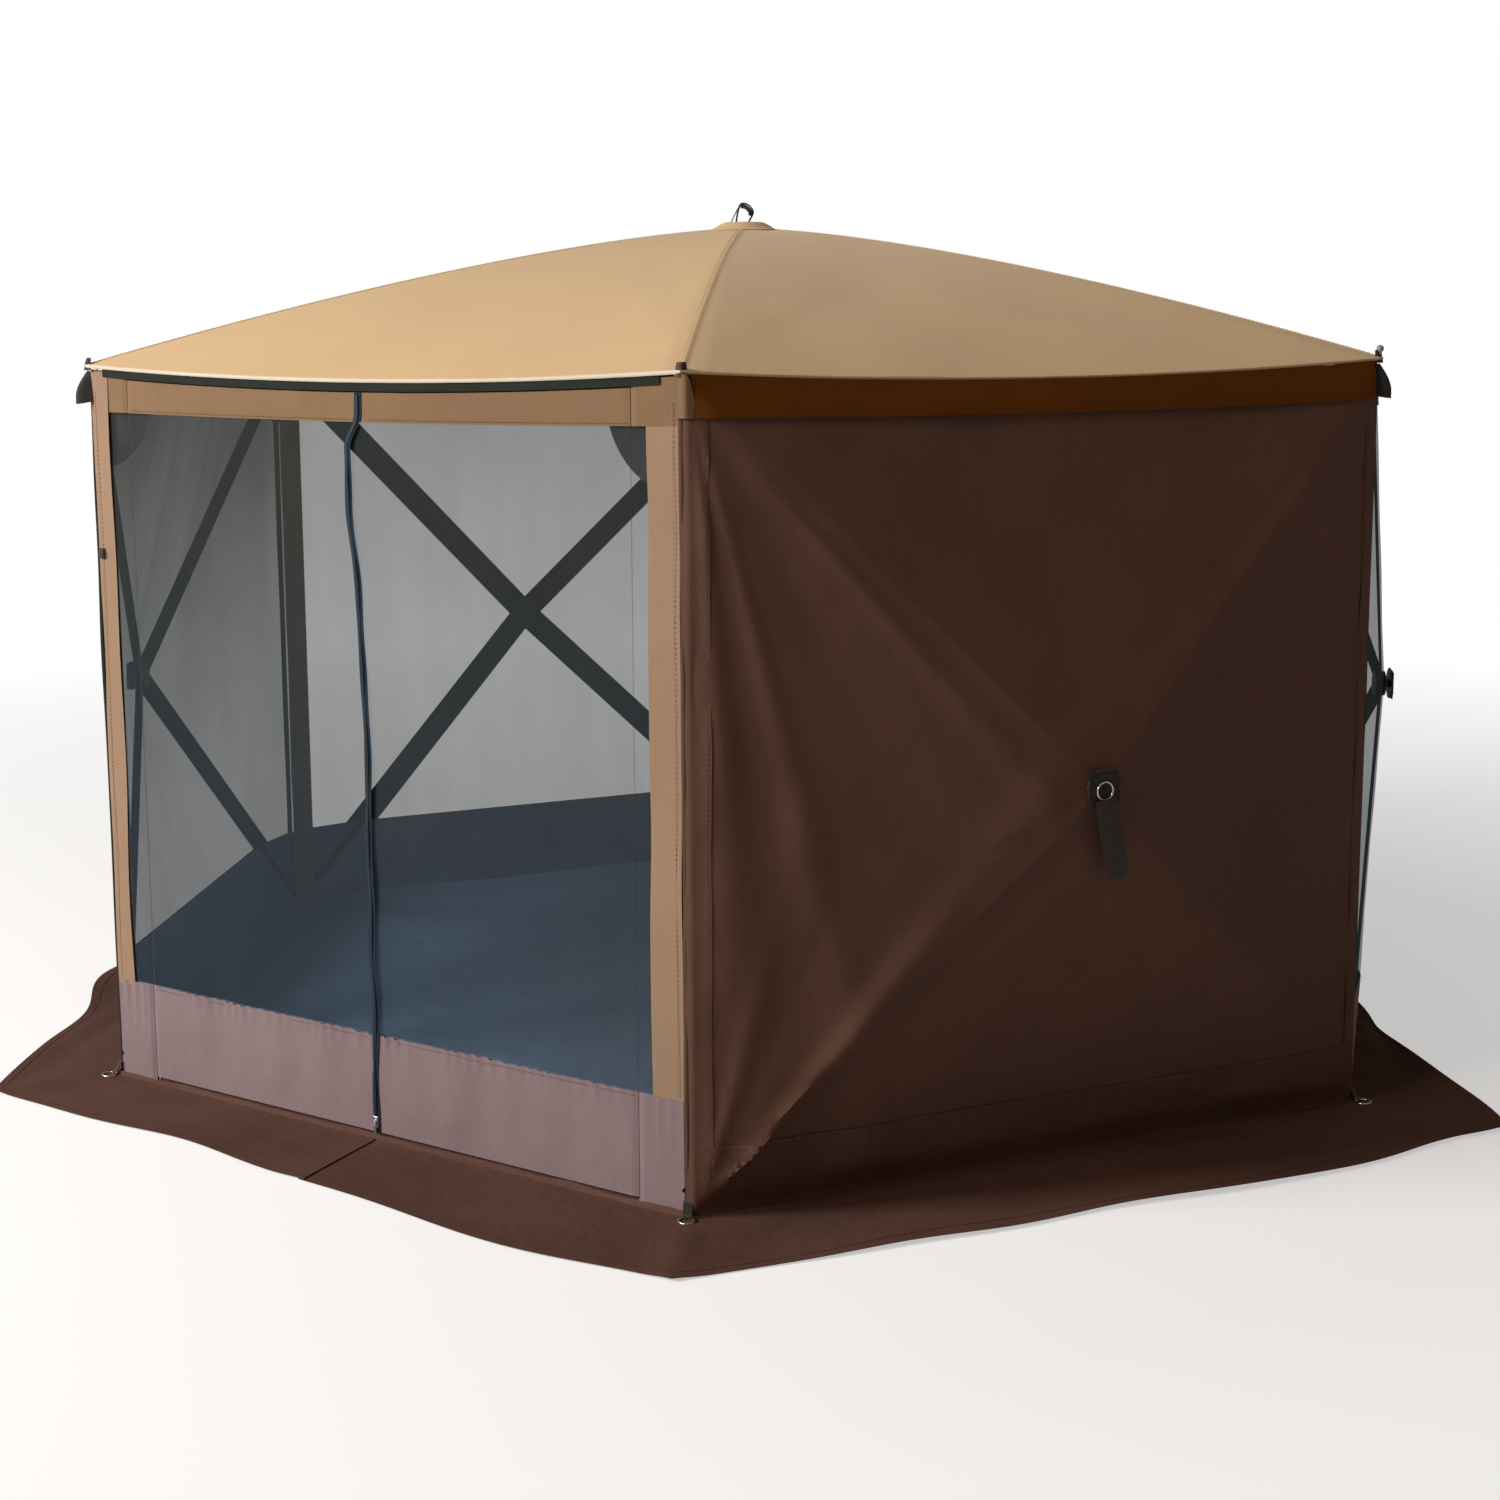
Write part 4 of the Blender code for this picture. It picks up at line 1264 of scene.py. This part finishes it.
def add_door():
    """The door's top tape, sill and head lining, its two jambs, its two leaves and the zip's pull."""
    place = wall_frame(DOOR_WALL)
    spot = strip(-HINGE_X, HINGE_X, 0.002, 0.034, 60, 4)
    sill = add_strip("door_sill", place, spot, -0.010, "skirt")
    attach(sill, "shelter")
    spot = strip(-HINGE_X, HINGE_X, eave_line(0.050), eave_line(WALL_TOP_GAP), 60, 4)
    head = add_strip("door_head_lining", place, spot, -0.0035, "tape")
    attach(head, "shelter")
    reach = EDGE_X - 0.035
    spot = strip(-reach, reach, eave_line(LEAF_TOP_GAP - 0.003), eave_line(0.006), 80, 5)
    depth = 0.0068 + 0.0008 * ripples(*spot, 480, 0.3)
    rail = add_strip("door_top_tape", place, spot, depth, "tape")
    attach(rail, "shelter")
    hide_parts("door_frame")
    sewn_on = [rail, head, sill, add_foot_seam(DOOR_WALL, "door")]
    add_jamb(-1, "left", sewn_on + add_corner(DOOR_WALL, CORNERS[DOOR_WALL]))
    add_jamb(1, "right", [])
    for side, label in BOTH_SIDES:
        add_leaf(side, label)
    add_slider_pull(place)


def add_slider_pull(place):
    """The zip's pull tab, hanging from the slider's nose, and the slider's own finish."""
    dress_node("zip_slider", "slider")
    middle = place.inverted() @ ((slider_low + slider_high) / 2)
    top = middle + Vector((0, 0.006, 0.0055))
    half, long = 0.0042, 0.034
    sections = []
    for t in np.linspace(0, 1, 12):
        point = top + Vector((0, -long * t, 0.0012 * math.sin(math.pi * t)))
        width = half * (0.55 + 0.45 * min(1, 3 * t))
        sections.append([point + Vector((width * k, 0, 0)) for k in (1, 0.5, 0, -0.5, -1)])
    across = np.linspace(-half, half, 5)
    tab = add_lofted("zip_pull_tab", place, sections, across, "slider", 0.0012)
    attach(tab, "zip_slider")


# ---- Corners
def add_corner(corner, label):
    """One corner's pole end and stake ring, and its sewn pieces: binding, strip, cap, flap and loop."""
    place = corner_frame(corner)
    if label not in ("front", "left"):
        add_ball(label, place)
    hanging = add_front_tab(place) if label == "front" else add_flap(label, place)
    pieces = [add_binding(corner, label, place), add_inner_strip(label, place), add_cap(label, place)]
    return [*pieces, hanging, add_stake_loop(label, place)]


def add_binding(corner, label, place):
    """The bound seam that joins two walls, a narrow rounded tape from ground to eave."""
    sections = []
    for height in np.linspace(0.010, WALL_HEIGHT - 0.018, 110):
        radius = 0.0042 + 0.0009 * float(ripples(height, 0, 500 + corner, 0.4))
        row = []
        for angle in np.radians(118) * np.linspace(-1, 1, 9):
            row.append((-0.002 + 1.3 * radius * math.cos(angle), 1.5 * radius * math.sin(angle), height))
        sections.append(row)
    finish = "binding" if label == "front" else "tape"
    name = f"corner_binding_{label}"
    binding = add_lofted(name, place, sections, np.linspace(-0.010, 0.010, 9), finish)
    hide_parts(f"corner_seam_{label}")
    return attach(binding, "shelter")


def add_inner_strip(label, place):
    """The strip that covers a corner's seam inside the shelter."""
    sections = []
    for height in np.linspace(0.02, WALL_HEIGHT - 0.045, 60):
        row = []
        for k in np.linspace(-0.044, 0.044, 13):
            bend = math.hypot(k, 0.008) - 0.008
            row.append((-0.016 - math.tan(math.radians(30)) * bend, k, height))
        sections.append(row[::-1])
    across = np.linspace(-0.06, 0.06, 13)
    cover = add_lofted(f"inner_strip_{label}", place, sections, across, "inner_strip")
    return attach(cover, "shelter")


def add_corner_sheet(name, place, rows, finish):
    """A little sheet through rows of points that run downwards."""
    across = np.linspace(-0.04, 0.04, len(rows[0]))
    return add_lofted(name, place, rows[::-1], across, finish, 0.0015)


def add_cap(label, place):
    """A small cloth cap over the pole ends."""
    rows = []
    for t in np.linspace(0, 1, 9):
        height = WALL_HEIGHT + 0.018 - 0.030 * t
        reach = 0.009 + 0.008 * math.sin(t * math.pi / 2)
        wide = 0.008 + 0.007 * t
        rows.append([(reach * (1 - 0.8 * k * k) - 0.003, wide * k, height) for k in np.linspace(-1, 1, 11)])
    finish = "binding" if label == "front" else "webbing"
    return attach(add_corner_sheet(f"corner_cap_{label}", place, rows, finish), "shelter")


def add_ball(label, place):
    """The moulded ball end of a corner's poles, with its short neck."""
    cage = bmesh.new()
    bmesh.ops.create_uvsphere(cage, u_segments=20, v_segments=12, radius=0.0085)
    bmesh.ops.create_cone(cage, cap_ends=True, segments=16, radius1=0.0052, radius2=0.0038, depth=0.016,
                          matrix=Matrix.Translation((0, 0, -0.012)))
    mesh = bpy.data.meshes.new("ball")
    cage.to_mesh(mesh)
    cage.free()
    placed(smoothed(mesh), place @ Matrix.Translation((0.008, 0, WALL_HEIGHT + 0.021)))
    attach(add_piece(f"pole_end_ball_{label}", mesh, "ball"), "shelter")


def add_flap(label, place):
    """A folded black flap that stands out from the corner, wider at its foot."""
    rows = []
    for t in np.linspace(0, 1, 10):
        height = WALL_HEIGHT - 0.014 - 0.074 * t
        reach = 0.006 + 0.030 * math.sin(0.5 * math.pi * min(1.0, 1.25 * t))
        wide = 0.007 + 0.008 * t
        rows.append([(reach * (1 - abs(k) ** 1.6) + 0.001, wide * k, height - 0.006 * t * (1 - k * k))
                     for k in np.linspace(-1, 1, 11)])
    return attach(add_corner_sheet(f"corner_flap_{label}", place, rows, "webbing"), "shelter")


def add_front_tab(place):
    """The tan tab that wraps the front corner over the end of the valance."""
    rows = []
    for t in np.linspace(0, 1, 12):
        height = WALL_HEIGHT - 0.006 - 0.090 * t
        right = 0.012 + 0.022 * t ** 0.7
        row = []
        for k in np.linspace(-0.013, right, 11):
            out = 0.009 + 0.013 * float(smooth(k, -0.006, 0.014))
            bend = math.hypot(k, 0.004) - 0.004
            row.append((out - math.tan(math.radians(30)) * bend, k, height))
        rows.append(row)
    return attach(add_corner_sheet("corner_tab_front", place, rows, "tan"), "shelter")


def add_stake_loop(label, place):
    """The steel stake ring on its own hinge, and the webbing loop that it hangs in."""
    ring_low, ring_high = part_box(f"stake_ring_{label}")
    mesh = ring_mesh((ring_low + ring_high) / 2, STAKE_RING, STAKE_WIRE, 40)
    ring = add_piece(f"ring_{label}", mesh, "steel")
    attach(ring, f"stake_ring_{label}")
    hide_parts(f"stake_ring_{label}")

    loop = [(-0.004, 0, 0.040), (0.008, 0, 0.036), (0.014, 0, 0.024), (0.019, 0, 0.015),
            (0.025, 0, 0.0125), (0.0265, 0, 0.0075), (0.022, 0, 0.0035), (0.006, 0, 0.0040)]
    mesh = placed(strap_mesh("loop", smooth_path(loop, 28), (0, 1, 0), 0.020, 0.0012), place)
    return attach(add_piece(f"stake_loop_{label}", mesh, "webbing"), "shelter")


def smooth_path(points, count):
    """A Catmull-Rom curve through the points, read at even steps."""
    points = np.array(points, float)
    padded = np.vstack([2 * points[0] - points[1], points, 2 * points[-1] - points[-2]])
    fine = []
    for index in range(len(points) - 1):
        a, b, c, d = padded[index:index + 4]
        for t in np.linspace(0, 1, 24, endpoint=False):
            fine.append(0.5 * (2 * b + (c - a) * t + (2 * a - 5 * b + 4 * c - d) * t * t
                               + (3 * b - a - 3 * c + d) * t ** 3))
    fine = np.array(fine + [points[-1]])
    return place_on(fine, np.linspace(0, measured(fine)[-1], count))


# ---- Ground cloths
def skirt_columns():
    """Places round the skirt as corner counts, from one edge of the slit to the other."""
    slit = DOOR_WALL + 0.5
    margin = 0.004
    first = np.linspace(slit + margin - 0.016, SIDES, 40)
    middle = [np.linspace(SIDES + k, SIDES + k + 1, 81)[1:] for k in range(SIDES - 1)]
    last = np.linspace(2 * SIDES - 1, slit + SIDES - margin, 40)[1:]
    return np.concatenate([first, *middle, last])


def skirt_stray(turns, along, plan):
    """How far the skirt's edge strays outwards: it is spread by the panel, and tucked in on the right."""
    tucked = 0.125 * np.exp(-((turns - SIDES - 1.48) / 0.36) ** 2)
    spread = 0.060 * np.exp(-((turns - SIDES - 0.2) / 0.55) ** 2)
    blown = 0.085 * np.exp(-((turns - SIDES - 0.66) / 0.24) ** 2)
    scallop = 0.013 * ripples(along, 0, 605, 0.42) * smooth(turns, SIDES, SIDES + 0.3)
    uneven = 0.030 * ripples(plan[None, :, 0], plan[None, :, 1], 600, 0.9)
    return uneven + spread + blown + scallop - tucked


def skirt_height(turns, along, t, q, from_slit):
    """Shallow waves, lower along the door. One edge laps the other at the slit; the inner edge turns up."""
    ground = 0.0012
    near_corner = np.exp(-((t - np.round(t)) / 0.022) ** 2)
    waves = 0.5 + 0.5 * ripples(along, 0.9 * q, 601, 0.55)
    past_door = smooth(turns, SIDES, SIDES + 0.25)
    before_door = smooth(turns, 2 * SIDES - 1.25, 2 * SIDES - 1)
    wave_height = 0.014 - 0.010 * np.maximum(1 - past_door, before_door)
    z = q ** 1.3 * wave_height * np.clip(waves, 0, 2) + 0.008 * near_corner * np.sin(math.pi * q * 0.8)
    lapped = 0.0030 * (turns > SIDES + 3) * (1 - smooth(from_slit, 0.01, 0.05))
    return ground + z * smooth(from_slit, 0.0, 0.06) + lapped + 0.007 * (1 - smooth(q, 0.0, 0.10))


def add_skirt():
    """The brown skirt: it lies on the ground in shallow waves, mitred at the corners, slit at the zip."""
    turns = skirt_columns()[None, :]
    sector = np.floor(turns - 1e-9).astype(int)
    t = turns - sector
    q = np.linspace(1, 0, 15)[:, None]
    from_slit = np.minimum(turns - turns.min(), turns.max() - turns)
    skewed = (t + 0.024 * q * np.exp(-(from_slit / 0.14) ** 2))[..., None]
    start = np.array([corner_direction(k) for k in sector[0]])
    end = np.array([corner_direction(k + 1) for k in sector[0]])
    direction = start * (1 - skewed) + end * skewed
    along = turns * CORNER_RADIUS
    inner = (APOTHEM - 0.008) / SIDE_RATIO
    outer = (APOTHEM + SKIRT_WIDTH) / SIDE_RATIO
    stray = skirt_stray(turns, along, direction[-1] * APOTHEM)
    radius = inner + (outer - inner - 0.012) * q + stray * q ** 2
    x, y = radius * direction[..., 0], radius * direction[..., 1]
    z = skirt_height(turns, along, t, q, from_slit)
    mesh = cloth_mesh("skirt_sheet", [(stack(x, y, z), stack(along, radius))])
    add_stitches(mesh, [stack(x[1], y[1], z[1] + 0.0018)])
    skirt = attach(add_piece("skirt_sheet", mesh, "skirt", "thread_brown"), "shelter")
    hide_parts("skirt")


def add_floor_cloth():
    """The slate ground sheet inside, with walked-in wrinkles."""
    rim = (APOTHEM - 0.006) / SIDE_RATIO
    turn_up = rim - np.array((0, 0.008, 0.016, 0.03))
    radius = np.concatenate([turn_up, np.linspace(rim - 0.07, 0.0, 44)])[:, None]
    patches = []
    for corner in range(SIDES):
        x, y = (radius * part for part in between_corners(corner, np.linspace(0, 1, 49)[None, :]))
        lift = 0.0024 * np.clip(1 + ripples(x, y, 620, 0.42), 0, 3) + 0.0018 * ripples(x, y, 621, 0.16) ** 2
        turned_up = 0.024 * smooth(radius, radius[0] - 0.03, radius[0])
        patches.append((stack(x, y, 0.0015 + lift + turned_up), stack(x, y)))
    sheet = add_piece("floor_sheet", cloth_mesh("floor", patches), "floor")
    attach(sheet, "shelter")
    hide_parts("ground_sheet")


# ---- Hubs and straps
def square_patch(size, depth, tilt):
    """A square of webbing with rounded corners, turned a little about its middle."""
    t = np.linspace(-1, 1, 13)
    u, v = np.meshgrid(t, t)
    x = size / 2 * u * np.sqrt(1 - 0.10 * v ** 4)
    y = size / 2 * v * np.sqrt(1 - 0.10 * u ** 4)
    z = depth + 0.0006 * (1 - np.maximum(np.abs(u), np.abs(v)) ** 4)
    turn = math.radians(tilt)
    turned_x = x * math.cos(turn) - y * math.sin(turn)
    turned_y = x * math.sin(turn) + y * math.cos(turn)
    return stack(turned_x, turned_y, z), stack(x, y)


def add_hub_patch(wall, label):
    """The square of webbing sewn over a hub's plate, and the plate's own finish."""
    face = wall_frame(wall) @ Matrix.Translation((0, HUB_HEIGHT, PLATE_DEPTH))
    mesh = cloth_mesh("patch", [square_patch(PATCH_SIZE, 0.0006, 4)], TRIM_THICKNESS)
    inset = PATCH_SIZE / 2 - 0.006
    around = ((-1, -1), (1, -1), (1, 1), (-1, 1), (-1, -1))
    box = np.array([(inset * x, inset * y, 0.0024) for x, y in around])
    add_stitches(mesh, [box, box[[0, 2]], box[[1, 3]]], pitch=0.006)
    placed(mesh, face)
    patch = add_piece(f"hub_patch_{label}", mesh, "webbing", "thread_dark")
    dress_node(f"hub_{label}", "panel_plate" if wall == PANEL_WALL else "hub")
    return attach(patch, f"hub_{label}")


def add_ring_pull():
    """The panelled wall's steel ring and the looped webbing strap that hangs from it."""
    face = wall_frame(PANEL_WALL) @ Matrix.Translation((0, HUB_HEIGHT, PLATE_DEPTH))
    mesh = placed(ring_mesh((0, -0.0060, 0.0040), PULL_RING, PULL_WIRE, 48), face)
    ring = add_piece("pull_ring", mesh, "steel")
    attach(ring, "hub_ring")
    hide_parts("hub_ring")

    line = smooth_path([(0.000, -0.024, 0.0078), (0.001, -0.036, 0.0110), (0.007, -0.072, 0.0140),
                        (0.018, -0.120, 0.0130), (0.030, -0.165, 0.0100), (0.038, -0.196, 0.0080)], 34)
    back = line[::-1] - np.array((0, 0, 0.0042))
    nose = smooth_path([line[-1], line[-1] + np.array((0.001, -0.006, -0.0021)), back[0]], 7)[1:-1]
    path = np.vstack([line, nose, back[:-2]])
    mesh = placed(strap_mesh("strap", path, (-0.978, -0.21, 0), 0.052, 0.0015, crown=0.0012), face)
    strap = add_piece("pull_webbing", mesh, "strap")
    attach(strap, "pull_strap")
    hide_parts("pull_strap")


def add_roof_cap():
    """The round of canvas sewn over the roof hub's plate."""
    radius = np.array((0.105, 0.085, 0.066, 0.054, 0.046, 0.036, 0.022, 0.004))[:, None]
    turn = np.linspace(0, 2 * math.pi, 49)[None, :]
    x, y = radius * np.cos(turn), radius * np.sin(turn)
    over = 1 - smooth(radius, 0.046, 0.095)
    z = roof_at(x, y) + 0.0022
    z = z + (ROOF_PLATE_TOP + 0.0016 - z) * over
    mesh = cloth_mesh("cap", [(stack(x, y, z), stack(x, y))], TRIM_THICKNESS)
    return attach(add_piece("roof_cap", mesh, "roof"), "roof_hub")


def add_roof_loop():
    """The webbing loop on the roof hub: an arch that leans over, its thicker folded grip and a thin leg."""
    base = ROOF_PLATE_TOP + 0.003
    arch_low, arch_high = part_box("roof_strap")
    half = (arch_high.x - arch_low.x) / 2
    tall = arch_high.z - base - 0.004

    def arch(places, count):
        return smooth_path([(across * half, 0, base + up * tall) for across, up in places], count)

    path = arch([(-0.62, 0.00), (-0.52, 0.45), (-0.30, 0.88), (0.02, 0.97), (0.46, 0.86), (0.80, 0.50),
                 (0.46, 0.00)], 44)
    mesh = strap_mesh("arch", path, (0, 1, 0), 0.022, 0.0022, crown=0.002)
    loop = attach(add_piece("roof_loop", mesh, "webbing"), "roof_hub")
    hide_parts("roof_strap")
    grip = strap_mesh("grip", path[18:37], (0, 1, 0), 0.025, 0.0085, crown=0.003)
    grip.transform(Matrix.Translation((-0.0030, 0, -0.0040)))
    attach(add_piece("roof_loop_grip", grip, "webbing"), "roof_hub")
    mesh = tube_mesh("leg", arch([(-0.98, 0.0), (-0.66, 0.42), (-0.34, 0.80)], 12), 0.0016)
    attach(add_piece("roof_loop_leg", mesh, "webbing"), "roof_hub")
    dress_node("roof_hub", "hub")


# ---- Studio
def add_camera():
    """A viewer to the right of the front corner, at about eye height, scaled to this frame."""
    data = bpy.data.cameras.new("camera")
    data.sensor_width = 36.0
    data.lens = 58.58
    data.shift_x = 0.040
    data.shift_y = -0.0267
    camera = linked("camera", data)
    yaw, pitch, roll = -0.0951, -0.1627, -0.0080
    look = Vector((math.sin(yaw) * math.cos(pitch), math.cos(yaw) * math.cos(pitch), math.sin(pitch)))
    right = Vector((math.cos(yaw), -math.sin(yaw), 0))
    up = right.cross(look)
    right, up = (math.cos(roll) * right + math.sin(roll) * up, math.cos(roll) * up - math.sin(roll) * right)
    turn = Matrix((right, up, -look)).transposed().to_4x4()
    place = Vector((0.4903, -6.7993, 1.9395)) * (CORNER_RADIUS / 1.790)
    camera.matrix_world = Matrix.Translation(place) @ turn
    bpy.context.scene.camera = camera


def add_light(name, place, target, size, power, colour=(1, 1, 1)):
    data = bpy.data.lights.new(name, "AREA")
    data.shape = "SQUARE"
    data.size = size
    data.energy = power
    data.color = colour
    light = linked(name, data)
    light.location = place
    light.rotation_euler = (Vector(target) - Vector(place)).to_track_quat("-Z", "Y").to_euler()


def add_studio():
    """A pale floor, a soft key from the left, a warm light from the front, and a surround seen as white."""
    bpy.ops.mesh.primitive_plane_add(size=160, location=(0, 0, -0.0008))
    floor = bpy.context.object
    floor.name = "studio_floor"
    floor.data.materials.append(stage_finish())
    add_light("key", (-9.2, -4.1, 5.0), (0, 0, 0.8), 3.2, 1330, (1.0, 0.98, 0.95))
    add_light("front", (-7.0, -8.0, 6.0), (0, 0, 0.8), 3.0, 440, (1.0, 0.88, 0.68))
    world = bpy.data.worlds.new("surround")
    world.use_nodes = True
    tree = world.node_tree
    surround = tree.nodes["Background"]
    direction = node(tree, "TexCoord").outputs["Generated"]
    across = node(tree, "SeparateXYZ", links={"Vector": direction}).outputs["X"]
    side = remapped(tree, across, 0.0, 1.0, -1.0, 1.0)
    sky = two_tone(tree, side, (0.27, 0.27, 0.31, 1), (0.175, 0.110, 0.030, 1))
    seen = node(tree, "LightPath").outputs["Is Camera Ray"]
    colour = node(tree, "Mix", {7: (1, 1, 1, 1)}, {0: seen, 6: sky}, data_type="RGBA")
    tree.links.new(colour.outputs[2], surround.inputs["Color"])
    bpy.context.scene.world = world
    bpy.context.scene.view_settings.view_transform = "Standard"


add_camera()
add_studio()
add_roof()
add_roof_loop()
for wall, label in enumerate(HUB_WALLS):
    add_hub_wall(wall, label)
add_wind_panel()
add_ring_pull()
add_door()
add_skirt()
add_floor_cloth()
